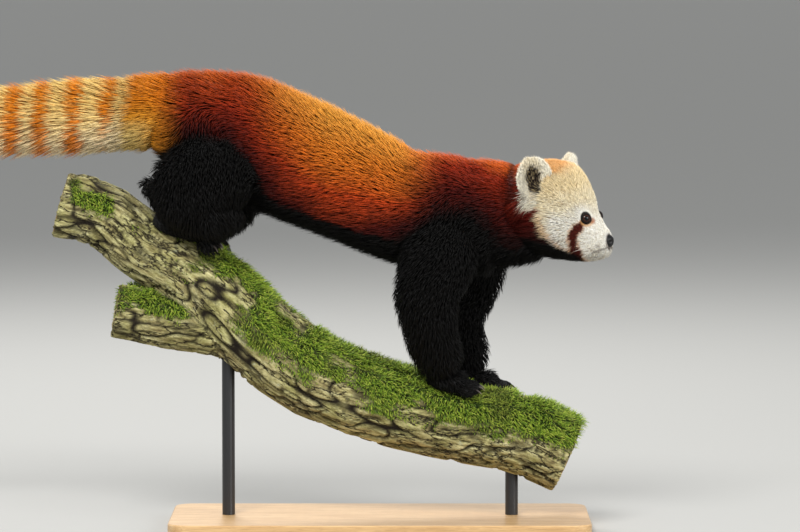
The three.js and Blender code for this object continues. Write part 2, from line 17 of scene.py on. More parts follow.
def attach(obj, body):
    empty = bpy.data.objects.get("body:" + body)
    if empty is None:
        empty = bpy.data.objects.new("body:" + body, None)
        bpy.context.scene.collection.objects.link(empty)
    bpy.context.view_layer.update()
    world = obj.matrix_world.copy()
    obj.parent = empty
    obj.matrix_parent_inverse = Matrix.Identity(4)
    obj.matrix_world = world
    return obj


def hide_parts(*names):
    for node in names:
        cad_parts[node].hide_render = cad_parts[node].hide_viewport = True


MM = 0.001
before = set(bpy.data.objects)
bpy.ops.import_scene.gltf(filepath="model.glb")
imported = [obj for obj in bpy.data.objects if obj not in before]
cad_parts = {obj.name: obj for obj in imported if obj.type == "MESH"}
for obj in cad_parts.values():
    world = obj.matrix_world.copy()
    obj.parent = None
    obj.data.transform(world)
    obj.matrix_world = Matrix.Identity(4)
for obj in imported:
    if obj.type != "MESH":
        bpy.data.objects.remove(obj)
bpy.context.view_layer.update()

# %% [markdown]
# ## Camera, floor and light
# The photo was taken from a long way off, a little above the animal's feet, square to its side. A
# 180 mm lens five metres away gives that flat view, and one metre across at the animal fills the frame.

# %% Camera
LOOK_AT = Vector((0.025, 0.0, 0.3275))
ELEVATION = math.radians(4.0)
DISTANCE = 5.0
LENS_MM = 180
SENSOR_MM = 36


def aim(thing, place, target):
    """Turns a camera or lamp at a place so that it points at a target."""
    thing.location = place
    thing.rotation_euler = (Vector(target) - Vector(place)).to_track_quat("-Z", "Y").to_euler()


lens = bpy.data.cameras.new("camera")
lens.lens = LENS_MM
lens.sensor_width = SENSOR_MM
lens.clip_end = 600
camera = bpy.data.objects.new("camera", lens)
bpy.context.collection.objects.link(camera)
back = Vector((0, -math.cos(ELEVATION), math.sin(ELEVATION)))
aim(camera, LOOK_AT + DISTANCE * back, LOOK_AT)
bpy.context.scene.camera = camera
bpy.context.scene.view_settings.view_transform = "Standard"
print("camera at", [round(c, 3) for c in camera.location])


# %% Helpers for shaders
def paint(code):
    """A colour written as on a paint card, as the linear values that shaders use."""
    shares = [int(code[i : i + 2], 16) / 255 for i in (0, 2, 4)]
    return np.array([s / 12.92 if s < 0.04045 else ((s + 0.055) / 1.055) ** 2.4 for s in shares])


class Shader:
    """A material, with short ways to add and join its nodes."""

    def __init__(self, name, **sockets):
        self.material = bpy.data.materials.new(name)
        self.material.use_nodes = True
        self.tree = self.material.node_tree
        self.surface = self.tree.nodes["Principled BSDF"]
        for socket, value in sockets.items():
            self.surface.inputs[socket.replace("_", " ")].default_value = value

    def add(self, kind, **settings):
        node = self.tree.nodes.new(kind)
        for key, value in settings.items():
            if key in node.inputs:
                node.inputs[key].default_value = value
            else:
                setattr(node, key, value)
        return node

    def join(self, source, target):
        self.tree.links.new(source, target)

    def coords(self, scale=(1, 1, 1), turn=(0, 0, 0)):
        place = self.add("ShaderNodeTexCoord")
        mapping = self.add("ShaderNodeMapping", Scale=scale, Rotation=turn)
        self.join(place.outputs["Object"], mapping.inputs["Vector"])
        return mapping.outputs["Vector"]

    def noise(self, scale, detail=4, stretch=(1, 1, 1), roughness=0.55, distortion=0.0):
        node = self.add(
            "ShaderNodeTexNoise", Scale=scale, Detail=detail, Roughness=roughness, Distortion=distortion
        )
        self.join(self.coords(stretch), node.inputs["Vector"])
        return node.outputs["Fac"]

    def ramp(self, factor, stops):
        node = self.add("ShaderNodeValToRGB")
        while len(node.color_ramp.elements) < len(stops):
            node.color_ramp.elements.new(0.5)
        for element, (place, colour) in zip(node.color_ramp.elements, stops):
            element.position = place
            element.color = (*paint(colour), 1)
        self.join(factor, node.inputs["Fac"])
        return node.outputs["Color"]

    def mix(self, factor, a, b, blend="MIX"):
        """Two colours mixed: each may be a socket, a colour code or a value."""
        node = self.add("ShaderNodeMix", data_type="RGBA", blend_type=blend)
        for socket, value in ((node.inputs[0], factor), (node.inputs[6], a), (node.inputs[7], b)):
            if isinstance(value, bpy.types.NodeSocket):
                self.join(value, socket)
            elif isinstance(value, str):
                socket.default_value = (*paint(value), 1)
            else:
                socket.default_value = value
        return node.outputs[2]

    def attribute(self, name, output="Color"):
        return self.add("ShaderNodeAttribute", attribute_name=name).outputs[output]

    def colour(self, source):
        self.join(source, self.surface.inputs["Base Color"])

    def bump(self, height, strength, distance):
        node = self.add("ShaderNodeBump", Strength=strength, Distance=distance)
        self.join(height, node.inputs["Height"])
        self.join(node.outputs["Normal"], self.surface.inputs["Normal"])


# %% Helpers for pieces
def new_piece(name, shape, *materials):
    """A smooth object from a mesh, or from a bmesh, which is then freed."""
    mesh = shape
    if isinstance(shape, bmesh.types.BMesh):
        mesh = bpy.data.meshes.new(name)
        shape.to_mesh(mesh)
        shape.free()
    mesh.polygons.foreach_set("use_smooth", np.ones(len(mesh.polygons), bool))
    for material in materials:
        mesh.materials.append(material)
    piece = bpy.data.objects.new(name, mesh)
    bpy.context.collection.objects.link(piece)
    return piece


def ridden(piece):
    """The same piece, once it rides the one body."""
    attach(piece, "root")
    return piece


def read_out(items, field, width, kind=float):
    """A field of a mesh's vertices, edges, loops or triangles, one row to each."""
    found = np.empty(len(items) * width, kind)
    items.foreach_get(field, found)
    return found.reshape(-1, width)


# %% Floor, lamps and sky
bm = bmesh.new()
bmesh.ops.create_grid(bm, x_segments=1, y_segments=1, size=200)
floor_paint = Shader("floor_paint", Base_Color=(*paint("a5a4a0"), 1), Roughness=0.9)
floor = new_piece("floor", bm, floor_paint.material)

LAMPS = {
    "key": ((-0.9, -2.8, 3.0), 150, 1.5),
    "fill": ((3.0, -2.6, 1.4), 100, 1.9),
    "rim": ((-0.6, 2.6, 3.2), 120, 1.4),
}
for name, (place, power, size) in LAMPS.items():
    lamp = bpy.data.lights.new(name, "AREA")
    lamp.energy = power
    lamp.size = size
    lamp_object = bpy.data.objects.new(name, lamp)
    bpy.context.collection.objects.link(lamp_object)
    aim(lamp_object, place, LOOK_AT)

sky = bpy.data.worlds.new("sky")
sky.use_nodes = True
sky.node_tree.nodes["Background"].inputs["Color"].default_value = (0.86, 0.88, 0.9, 1)
sky.node_tree.nodes["Background"].inputs["Strength"].default_value = 0.68
bpy.context.scene.world = sky
print("lamps", list(LAMPS))


# %% [markdown]
# ## The skin
# Under its hair the animal is a chain of rounded stretches: trunk, neck, skull, four legs, four feet
# and a tail. Each is lofted along a middle line from a sphere, a coat's depth inside the solids, and a
# voxel remesh then melts them into one skin with no seam. Metaballs would melt too, but they can't follow
# a section that is taller than it is wide, as a chest or a thigh is.


# %% Lines and sections
def spline(rows, t):
    """A smooth line through the rows, read at shares t of its length."""
    rows = np.asarray(rows, float)
    ends = np.vstack([2 * rows[0] - rows[1], rows, 2 * rows[-1] - rows[-2]])
    place = np.clip(t, 0, 1) * (len(rows) - 1)
    i = np.minimum(place.astype(int), len(rows) - 2)
    s = (place - i)[:, None]
    a, b, c, d = (ends[i + k] for k in range(4))
    return 0.5 * (2 * b + (c - a) * s + (2 * a - 5 * b + 4 * c - d) * s**2 + (3 * b - a - 3 * c + d) * s**3)


def unit(vectors):
    """The same ways, one long."""
    return vectors / np.maximum(np.linalg.norm(vectors, axis=-1, keepdims=True), 1e-9)


def norms(vectors):
    """The length of each vector."""
    return np.linalg.norm(vectors, axis=1)


def axes(rows, t, upright):
    """The middle of each section, and the ways along, across and up from it."""
    rows = np.asarray(rows, float)[:, :3]
    centre = spline(rows, t)
    along = unit(spline(rows, np.minimum(t + 0.005, 1)) - spline(rows, np.maximum(t - 0.005, 0)))
    across = np.tile((0.0, 1.0, 0.0), (len(centre), 1))
    if upright:
        return centre, along, across, np.tile((0.0, 0.0, 1.0), (len(centre), 1))
    across = unit(across - along * along[:, 1:2])
    return centre, along, across, np.cross(along, across)


POLL = np.array([187.5, -6.0, 410.0]) * MM
HEAD_YAW = math.radians(-25)
HEAD_TURN = np.array(Matrix.Rotation(HEAD_YAW, 3, "Z"))


def from_head(local):
    """Places in the head's own frame, in millimetres, as places in the model."""
    return POLL + (np.asarray(local, float) * MM) @ HEAD_TURN.T


def to_head(points):
    """Places in the model as places in the head's own frame, in millimetres."""
    return ((points - POLL) @ HEAD_TURN) / MM


NOSE_TIP = np.array([105.0, 0.0, -48.5])
EYES = {side: np.array([82.5, 20.5 * side, -19.5]) for side in (-1, 1)}
EYE_RADIUS = 6.8


# %% The stretches of the body, in millimetres: x, y, z, half width, half height, pear
FORE_STRIDE = 38
HIND_STRIDE = 10
THIGH_LEAD = 28

TRUNK = [
    [-292, 0, 524, 44, 44, 0],
    [-246, 0, 513, 59, 62, 0.06],
    [-178, 0, 491, 71, 80, 0.1],
    [-100, 0, 460, 77, 80, 0.12],
    [-25, 0, 427, 78, 76, 0.12],
    [25, 0, 404, 76, 73, 0.1],
    [81, 0, 393, 73, 76, 0.06],
    [134, 0, 389, 63, 69, 0.02],
    [176, -2, 382, 46, 56, 0],
]
NECK = [
    [70, 0, 400, 46, 54, 0],
    [110, -1, 398, 54, 64, 0],
    [140, -3, 396, 56, 67, 0],
    [168, -7, 394, 56, 67, 0.04],
    [198, -14, 393, 53, 60, 0.06],
    [238, -26, 388, 42, 47, 0],
]
SKULL = [
    [-28, 0, 1, 42, 40, 0],
    [-4, 0, -1, 54, 48, 0.05],
    [24, 0, -5, 62, 57, 0.1],
    [44, 0, -9, 61, 59.5, 0.14],
    [58, 0, -13, 56, 59, 0.2],
    [69, 0, -20.5, 47.5, 53, 0.22],
    [80, 0, -32, 34.5, 42, 0.16],
    [89, 0, -42, 26, 31, 0.08],
    [97, 0, -48, 21, 22, 0],
    [103, 0, -50, 16.5, 16.5, 0],
    [108, 0, -50, 12, 12, 0],
]
TAIL = [
    [-222, 0, 517, 38, 38, 0],
    [-258, 0, 519, 39, 39, 0],
    [-290, 0, 519, 37, 37, 0],
    [-320, 0, 518, 32, 32, 0],
    [-352, 0, 516, 26, 26, 0],
    [-400, 1, 513, 22, 22, 0],
    [-470, 4, 508, 19, 19, 0],
    [-590, 20, 496, 15, 15, 0],
    [-640, 31, 484, 8, 8, 0],
]
LIMB = [
    [-398, 0, 405, 41, 42, 0],
    [-344, 0, 390, 41, 42, 0],
    [-294, 0, 352, 42, 42, 0],
    [-231, 0, 315, 47, 48, 0],
    [-162, 0, 248, 51, 52, 0],
    [-88, 0, 192, 52, 52, 0],
    [6, 0, 155, 51, 51, 0],
    [88, 0, 133, 50, 50, 0],
    [169, 0, 119, 50, 50, 0],
    [235, 0, 90, 48, 48, 0],
]


def foreleg(side):
    step = FORE_STRIDE if side > 0 else 0
    return [
        [88 + 0.6 * step, 40 * side, 400, 26, 44, 0],
        [74 + 1.15 * step, 54 * side, 345, 33, 48, 0],
        [60 + 1.3 * step, 60 * side, 300, 31, 44, 0],
        [62 + 0.95 * step, 54 * side, 255, 28, 37, 0],
        [74 + 0.88 * step, 42 * side, 216, 25, 33, 0],
        [88 + step, 28 * side, 190, 20, 24, 0],
    ]


def thigh(side):
    lead = THIGH_LEAD if side > 0 else 0
    return [
        [-215 + 0.3 * lead, 34 * side, 500, 30, 50, 0],
        [-208 + 0.6 * lead, 50 * side, 460, 36, 64, 0],
        [-210 + 0.9 * lead, 58 * side, 424, 34, 72, 0],
        [-192 + lead, 58 * side, 384, 26, 44, 0],
    ]


def shank(side):
    step = HIND_STRIDE if side > 0 else 0
    return [
        [-166 + step, 58 * side, 396, 24, 26, 0],
        [-205 + step, 56 * side, 398, 30, 36, 0],
        [-248 + step, 48 * side, 404, 25, 29, 0],
        [-280 + step, 39 * side, 426, 18, 19, 0],
        [-298 + step, 35 * side, 437, 14, 14, 0],
    ]


# %% Feet, which follow the top of the limb
limb_line = spline(LIMB, np.linspace(0, 1, 400))
limb_slope = np.gradient(limb_line[:, 2], limb_line[:, 0])


def limb_top(x, y):
    """The height of the limb's top, in millimetres, over a place seen from above."""
    height = np.interp(x, limb_line[:, 0], limb_line[:, 2])
    radius = np.interp(x, limb_line[:, 0], limb_line[:, 4])
    slope = np.interp(x, limb_line[:, 0], limb_slope)
    return height + math.sqrt(radius**2 - y**2) * math.hypot(1, slope)


# The share of its height that a foot loses from heel to toe.
SOLE_TAPER = 0.16


def sole(heel, toe, y, half_width, height, side):
    """The sections of a foot that stands on the limb."""
    rows = []
    for share, spread in ((0, 0.72), (0.35, 0.86), (0.7, 1), (1, 0.86)):
        x = heel + (toe - heel) * share
        across = (y - 3 * share) * side
        rise = limb_top(x, across) + height * 0.62
        rows.append([x, across, rise, half_width * spread, height * (1 - SOLE_TAPER * share), 0])
    return rows


FEET = {
    "forepaw_right": sole(56, 112, 30, 23, 16, -1),
    "forepaw_left": sole(56 + FORE_STRIDE, 112 + 1.08 * FORE_STRIDE, 30, 23, 16, 1),
    "hindfoot_right": sole(-284, -206, 31, 22, 17, -1),
    "hindfoot_left": sole(-284 + HIND_STRIDE, -206 + HIND_STRIDE, 31, 22, 17, 1),
}


def toes_of(rows):
    """The root, the way and the way up of each of a foot's five toes, in millimetres."""
    t = np.array([0.86])
    centre, along, across, up = (part[0] for part in axes(rows, t, False))
    half_width, height = rows[2][3], rows[2][4] / (1 - 0.7 * SOLE_TAPER)
    made = []
    for fan in np.linspace(-1, 1, 5):
        way = unit(along + across * fan * 0.2)
        root = centre + across * fan * half_width * 0.74
        root = root - up * height * (0.1 + 0.3 * fan**2) - along * 5 * fan**2
        made.append((root, way, up))
    return made


print("toes", sum(len(toes_of(rows)) for rows in FEET.values()))

# %% The coat on each stretch: length, lean, width and number of tufts to a square millimetre
COAT = {
    "trunk": {"length": 22, "lean": 36, "width": 1.65, "density": 0.26, "inset": 12},
    "neck": {"length": 21, "lean": 34, "width": 1.6, "density": 0.29, "inset": 11},
    "skull": {"length": 8, "lean": 28, "width": 0.95, "density": 0.78, "inset": 3},
    "ear": {"length": 8, "lean": 30, "width": 0.85, "density": 0.9, "inset": 1.5},
    "foreleg": {"length": 17, "lean": 30, "width": 1.9, "density": 0.16, "inset": 8},
    "hindleg": {"length": 18, "lean": 30, "width": 1.9, "density": 0.16, "inset": 8},
    "foot": {"length": 6, "lean": 20, "width": 1.2, "density": 0.3, "inset": 2.5},
    "tail": {"length": 43, "lean": 36, "width": 1.9, "density": 0.5, "inset": 0},
}
BODY = [
    {"kind": "trunk", "rows": TRUNK, "flow": -1},
    {"kind": "neck", "rows": NECK, "flow": -1},
    {"kind": "skull", "rows": SKULL, "flow": -1, "upright": True, "head": True},
    {"kind": "tail", "rows": TAIL, "flow": 1},
]
for side in (-1, 1):
    BODY.append({"kind": "foreleg", "rows": foreleg(side), "flow": 1})
    BODY.append({"kind": "hindleg", "rows": thigh(side), "flow": 1})
    BODY.append({"kind": "hindleg", "rows": shank(side), "flow": 1, "hangs": True})
for rows in FEET.values():
    BODY.append({"kind": "foot", "rows": rows, "flow": 1})
print("stretches", len(BODY))


# %% Loft every stretch from a sphere
def loft(bm, part):
    """A sphere whose rings are moved to the sections of one stretch, inside the coat's depth."""
    rows = np.asarray(part["rows"], float)
    inset = COAT[part["kind"]]["inset"]
    made = bmesh.ops.create_uvsphere(bm, u_segments=40, v_segments=40, radius=1)["verts"]
    ball = np.array([v.co for v in made])
    even = np.arccos(np.clip(-ball[:, 2], -1, 1)) / math.pi
    t = 0.65 * even + 0.35 * (0.5 - 0.5 * np.cos(math.pi * even))
    angle = np.arctan2(ball[:, 1], ball[:, 0])
    centre, along, across, up = axes(rows, t, part.get("upright", False))
    form = spline(rows[:, 3:], t)
    inward = np.minimum(1, np.minimum(t, 1 - t) * (len(rows) - 1))
    full = np.sqrt(np.maximum(0, 1 - (1 - inward) ** 2))
    if part["kind"] == "skull":
        inset = inset * np.interp(t, [0, 0.6, 0.85, 1], [1, 1, 0.45, 0.2])
    width = (form[:, 0] - inset) * full * np.cos(angle) * (1 - form[:, 2] * np.sin(angle))
    height = (form[:, 1] - inset) * full * np.sin(angle)
    ends = (np.where(t < 0.5, 1, -1) * (1 - full) * inset)[:, None]
    places = centre + along * ends + across * width[:, None] + up * height[:, None]
    places = from_head(places) if part.get("head") else places * MM
    for vertex, place in zip(made, places):
        vertex.co = place


EAR = {"root": (29, 52, 26), "width": 23, "height": 28, "bowl": 9, "wall": 4.5, "raise": 4}


def ear_axes(side):
    """The ear's root, and the ways across it, up it and out of its cup, in the head's frame."""
    length = unit(np.array([-4.0, 17.0 * side, 33.0]))
    cup = np.array([0.66, 0.72 * side, 0.1])
    cup = unit(cup - length * cup.dot(length))
    x, y, z = EAR["root"]
    return np.array([x, y * side, z]), np.cross(length, cup), length, cup


def ear(bm, side):
    """A sphere pressed into a bowl with a round tip, its edges bent towards the cup."""
    made = bmesh.ops.create_uvsphere(bm, u_segments=40, v_segments=28, radius=1)["verts"]
    root, across, length, cup = ear_axes(side)
    for vertex in made:
        x, y, z = vertex.co
        flat = max(0.0, 1 - x * x - y * y)
        narrow = 1 - 0.16 * max(0.0, y) ** 1.5
        if z > 0:
            depth = 2.5 * (flat**0.5) * (1 - flat) - EAR["bowl"] * 0.55 * flat
        else:
            depth = -(EAR["bowl"] * 0.55 + EAR["wall"]) * flat**0.5
        depth += 4 * x * x + 5 * max(0.0, -y) ** 2
        place = root + across * x * EAR["width"] * narrow + length * (y * EAR["height"] + EAR["raise"])
        vertex.co = from_head(place + cup * depth)


bm = bmesh.new()
for part in BODY:
    loft(bm, part)
for side in (-1, 1):
    ear(bm, side)
for rows in FEET.values():
    for root, way, up in toes_of(rows):
        spot = Matrix.Translation(Vector((root + way * 8) * MM))
        turn = Vector(way).to_track_quat("X", "Z").to_matrix().to_4x4()
        size = Matrix.Diagonal((13 * MM, 6.3 * MM, 7.5 * MM, 1))
        bmesh.ops.create_uvsphere(bm, u_segments=16, v_segments=12, radius=1, matrix=spot @ turn @ size)
print("lofted vertices", len(bm.verts))


# %% Melt them into one skin
def melted(name, bm, voxel, rounds):
    """The shapes in a bmesh as one closed, softened surface, with its modifiers applied."""
    piece = new_piece(name, bm)
    remesh = piece.modifiers.new("remesh", "REMESH")
    remesh.mode = "VOXEL"
    remesh.voxel_size = voxel
    remesh.use_smooth_shade = True
    soften = piece.modifiers.new("soften", "SMOOTH")
    soften.iterations = rounds
    graph = bpy.context.evaluated_depsgraph_get()
    mesh = bpy.data.meshes.new_from_object(piece.evaluated_get(graph))
    lofted = piece.data
    piece.modifiers.clear()
    piece.data = mesh
    bpy.data.meshes.remove(lofted)
    return piece


SKIN_VOXEL = 2.45 * MM
skin = melted("skin", bm, SKIN_VOXEL, 7)
print("skin faces", len(skin.data.polygons))


# %% Read the skin as arrays, and press in the eyes' sockets
def corners_of(mesh):
    """Vertex places and normals, and each triangle's vertices and loops."""
    mesh.calc_loop_triangles()
    return (
        read_out(mesh.vertices, "co", 3),
        read_out(mesh.vertex_normals, "vector", 3),
        read_out(mesh.loop_triangles, "vertices", 3, int),
        read_out(mesh.loop_triangles, "loops", 3, int),
    )


def gaze_of(side):
    """The way an eye looks, in the head's frame."""
    return unit(np.array([0.62, 0.78 * side, 0.06]))


def from_gaze(local, side):
    """How far places are in front of an eye's centre, and how far off its line of sight."""
    apart = local - EYES[side]
    ahead = apart @ gaze_of(side)
    return ahead, norms(apart - ahead[:, None] * gaze_of(side))


SOCKET_DEPTH = 4.0
SOCKET_RADIUS = 8.5
local = to_head(read_out(skin.data.vertices, "co", 3))
for side in EYES:
    ahead, off = from_gaze(local, side)
    pressed = SOCKET_DEPTH * np.clip(1 - (off / SOCKET_RADIUS) ** 2, 0, 1) * (ahead > 0)
    local -= pressed[:, None] * gaze_of(side)
skin_places = from_head(local)
skin.data.vertices.foreach_set("co", skin_places.ravel())
skin.data.update()
skin_places, skin_normals, skin_triangles, skin_loops = corners_of(skin.data)
print("sockets pressed in", sorted(EYES))


# %% [markdown]
# ## The lie of the coat
# Hair lies along the stretch that it grows on: back along the trunk and neck, down the legs, out along
# the tail, and away from the nose on the face. Every point of the skin takes its lie from the
# stretches near it, each weighted by how close its middle line is, measured in its own half widths.
# Hair could be combed by hand instead, but a rule gives the same coat on every run.


# %% Which stretch each point of the skin belongs to
def closest(points, centres, radii):
    """Each point's distance from the nearest of some centres, in its radii, and which one it is."""
    best = np.full(len(points), np.inf)
    which = np.zeros(len(points), int)
    for i, (centre, radius) in enumerate(zip(centres, radii)):
        near = norms(points - centre) / radius
        closer = near < best
        best[closer] = near[closer]
        which[closer] = i
    return best, which


def nearest_on(rows, points, head=False, count=28):
    """For each point, the distance to a stretch's middle line in half widths, and the way along it."""
    t = np.linspace(0.02, 0.98, count)
    centre, along, _, _ = axes(rows, t, False)
    radius = spline(np.asarray(rows, float)[:, 3:5], t).mean(axis=1) * MM
    centre = from_head(centre) if head else centre * MM
    along = along @ HEAD_TURN.T if head else along
    best, which = closest(points, centre, radius)
    return best, along[which]


def fade(low, high, value):
    """A share that rises softly from 0 at one value to 1 at the other, and may fall instead."""
    share = np.clip((value - low) / (high - low), 0, 1)
    return share * share * (3 - 2 * share)


def face_lie(points):
    """On the head hair runs away from the nose, and down on the cheeks."""
    local = to_head(points)
    lie = unit(local - NOSE_TIP)
    cheek = fade(8, -30, local[:, 2]) * fade(90, 60, local[:, 0])
    lie[:, 2] -= 0.5 * cheek
    lie[:, 0] -= 0.5 * fade(60, 20, local[:, 0])
    return unit(lie) @ HEAD_TURN.T


def ear_share(points):
    """How much each point belongs to an ear, and its place in that ear: across, up, out of the cup."""
    local = to_head(points)
    share = np.zeros(len(points))
    inside = np.zeros_like(points)
    for side in (-1, 1):
        root, across, length, cup = ear_axes(side)
        apart = local - root
        own = np.stack([apart @ across, apart @ length, apart @ cup], axis=1)
        reach = (own[:, 0] / 26) ** 2 + ((own[:, 1] - 7) / 35) ** 2 + (own[:, 2] / 16) ** 2
        skull_gap = np.hypot(local[:, 1] / 60, (local[:, 2] + 8) / 58)
        here = fade(1.1, 0.9, reach) * fade(0.9, 0.97, skull_gap)
        share = np.where(here > share, here, share)
        inside = np.where((here > 0)[:, None], own, inside)
    return share, inside


def coat_fields(points, normals):
    """The lie, length, lean, width and density of the coat at points of the skin."""
    kinds = [part["kind"] for part in BODY]
    near = []
    lies = []
    for part in BODY:
        distance, way = nearest_on(part["rows"], points, part.get("head", False))
        lie = way * part["flow"]
        if part["kind"] == "skull":
            lie = face_lie(points)
        if part["kind"] in ("trunk", "neck"):
            lie = lie + np.array([0, 0, -0.4]) * (1 - np.abs(normals[:, 2:3]))
        if part["kind"] == "foreleg":
            lie = lie + np.array([-0.25, 0, 0])
        if part.get("hangs"):
            lie = 0.4 * lie + np.array([0.1, 0, -1.0])
        near.append(distance)
        lies.append(unit(lie))
    near = np.array(near)
    weight = np.exp(-9 * (near - near.min(axis=0)))
    weight /= weight.sum(axis=0)
    lie = sum(w[:, None] * way for w, way in zip(weight, lies))
    values = {}
    for key in ("length", "lean", "width", "density"):
        values[key] = np.array([COAT[kind][key] for kind in kinds], float) @ weight
    return lie, values, weight[kinds.index("tail")], weight[kinds.index("skull")]


lie, values, tail_share, head_share = coat_fields(skin_places, skin_normals)
ears, ear_place = ear_share(skin_places)
print("on the ears", int((ears > 0.5).sum()), "on the head", int((head_share > 0.5).sum()))

# %% Ears, muzzle, eyes and cheeks have hair of their own length
# A beard of long pale hair hangs from under each ear, round this place in the head's frame.
LOBE = np.array([22.0, 54.0, 0.0])


def lobe_share(local):
    """How much each place belongs to the beard under the ear on its side."""
    apart = np.stack([local[:, 0], np.abs(local[:, 1]), local[:, 2]], axis=1) - LOBE
    return fade(15, 10, norms(apart))


def eye_gap(local):
    """The distance of each place from the nearer eye's centre."""
    return np.min([norms(local - eye) for eye in EYES.values()], axis=0)


local = to_head(skin_places)
for key in values:
    values[key] = values[key] * (1 - ears) + COAT["ear"][key] * ears
for side in (-1, 1):
    _, across_axis, length_axis, _ = ear_axes(side)
    fan = across_axis * ear_place[:, :1] * 0.9 + length_axis * (ear_place[:, 1:2] + 14)
    here = (ears * (local[:, 1] * side > 0))[:, None]
    lie = lie * (1 - here) + (unit(fan) @ HEAD_TURN.T) * here

lobe = lobe_share(local) * (1 - ears)
lie = lie * (1 - lobe[:, None]) + unit(np.array([-0.25, 0, -1.0])) * lobe[:, None]

head_only = head_share * (1 - ears)
cheek = head_only * fade(66, 40, local[:, 0]) * fade(0, -18, local[:, 2])
muzzle = head_only * fade(76, 92, local[:, 0])
to_nose = norms(local - NOSE_TIP)
to_eye = eye_gap(local)
near_eye = fade(16, 8, to_eye)
chin = muzzle * fade(-52, -60, local[:, 2])
values["length"] *= 1 + 0.9 * cheek + 1.0 * lobe
values["width"] *= 1 + 0.2 * cheek
values["length"] *= 1 - 0.42 * muzzle + 0.35 * chin
values["length"] *= 1 - 0.6 * near_eye
values["width"] *= 1 - 0.2 * muzzle - 0.25 * near_eye
values["density"] *= 1 + 0.2 * muzzle
values["density"] *= fade(6.9, 7.5, to_eye) * fade(8.6, 10, to_nose)

# The tail's hair starts short at the rump, and the throat's and chest's hangs long.
x_mm, _, z_mm = (skin_places / MM).T
values["length"] *= 1 - 0.42 * tail_share * fade(-335, -245, x_mm)
heel = fade(-262, -285, x_mm) * fade(455, 440, z_mm)
values["length"] *= 1 - 0.35 * heel
chest = fade(90, 125, x_mm) * fade(175, 140, x_mm)
chest = chest * fade(-0.15, -0.6, skin_normals[:, 2])
chest = chest * (1 - fade(0.2, 0.5, head_share)) * (z_mm > 300)
values["length"] *= 1 + 0.3 * chest
values["lean"] += 14 * chest


# %% Let neighbouring points share their values, so that the lie turns smoothly
def shared(field, pairs, rounds):
    """Each round replaces every value by the mean of its own and its neighbours'."""
    flat = field.reshape(len(field), -1).copy()
    count = np.bincount(pairs.ravel(), minlength=len(flat)) + 1.0
    for _ in range(rounds):
        total = flat.copy()
        for column in range(flat.shape[1]):
            total[:, column] += np.bincount(pairs[:, 0], flat[pairs[:, 1], column], len(flat))
            total[:, column] += np.bincount(pairs[:, 1], flat[pairs[:, 0], column], len(flat))
        flat = total / count[:, None]
    return flat.reshape(field.shape)


pairs = read_out(skin.data.edges, "vertices", 2, int)
lie = lie - skin_normals * np.sum(lie * skin_normals, axis=1, keepdims=True)
lie = unit(shared(unit(lie), pairs, 12))
for key in ("length", "lean"):
    values[key] = shared(values[key], pairs, 4)

# %% [markdown]
# ## Markings
# The colours are painted by position, not from any picture: black below a line along the flanks, red
# on the shoulders, gold on the back, a cream face with a dark stripe under each eye, and rings on the
# tail. The gold on top of the back and the dark red low on the flanks are partly the coat's own colour,
# partly painted light from above and painted shade, and a dark patch behind each ear is painted shade.
# The same function paints the skin and every tuft, so they agree. Smooth noise moves the edges a little,
# because a straight edge would look cut with scissors.


# %% Patterns that vary over the body
def wander(points, size, seed=0):
    """Smooth values from -1 to 1 that change over about `size` metres."""
    grid = points / size
    low = np.floor(grid).astype(np.int64)
    share = grid - low
    share = share * share * (3 - 2 * share)
    total = np.zeros(len(points))
    for corner in itertools.product((0, 1), repeat=3):
        cell = low + np.array(corner)
        code = cell[:, 0] * 73856093 ^ cell[:, 1] * 19349663 ^ cell[:, 2] * 83492791 ^ seed * 2654435761
        code = (code ^ (code >> 13)) * 1274126177 & 0xFFFFFFFF
        value = ((code ^ (code >> 16)) & 0xFFFF) / 32767.5 - 1
        total += value * np.prod(np.where(corner, share, 1 - share), axis=1)
    return total


def blend(a, b, share):
    """Colours that lie a share of the way from a to b."""
    return a + (b - a) * np.asarray(share)[:, None]


def layered(colour, *layers):
    """Paints laid over a colour one after the other, each with a share of its own."""
    for code, share in layers:
        colour = blend(colour, paint(code), share)
    return colour


def ramp(share, *stops):
    """Colours that change along a share from 0 to 1."""
    places = [place for place, _ in stops]
    colours = np.array([paint(code) for _, code in stops])
    return np.stack([np.interp(share, places, colours[:, i]) for i in range(3)], axis=1)


# Below this line, from the rump to the throat, the coat is black: x and z in millimetres.
BLACK_LINE = np.array(
    [
        (-300, 472), (-270, 476), (-259, 486), (-225, 493), (-185, 485), (-170, 468), (-152, 452),
        (-142, 430), (-134, 407), (-116, 398), (-69, 378), (-23, 367), (10, 366), (40, 372), (70, 392),
        (112, 396), (140, 372), (160, 354), (225, 352), (280, 350),
    ]
)
# The red shading of the flanks starts from this line, which rounds off the step in front of the thigh.
RED_LINE = np.array(
    [
        (-300, 474), (-259, 486), (-225, 494), (-185, 487), (-160, 462), (-135, 426), (-110, 403),
        (-69, 378), (-23, 370), (10, 368), (40, 374), (70, 392), (112, 396), (140, 372), (160, 354),
        (280, 350),
    ]
)
# The top of the back, seen from the side.
BACK_LINE = np.array(
    [(-292, 572), (-178, 571), (-100, 540), (-25, 503), (25, 477), (134, 458), (240, 462)]
)
# The cream of the cheek ends here, seen from the side: z and x in the head's frame.
CHEEK_LINE = np.array([(-66, 76), (-58, 67), (-53, 57), (-42, 44), (-24, 35), (-8, 36), (0, 32), (8, 22)])
# The dark stripe under each eye: x and z in the head's frame.
TEAR_LINE = np.array([(80, -27), (75, -34), (72.5, -42), (72, -52), (73, -60), (72, -68)])
# The dark rings' middles along the tail, from its root, and half of a ring's width.
DARK_RINGS = (108, 146, 187, 224, 259, 292, 324, 354, 382)
RING_HALF = 8.5


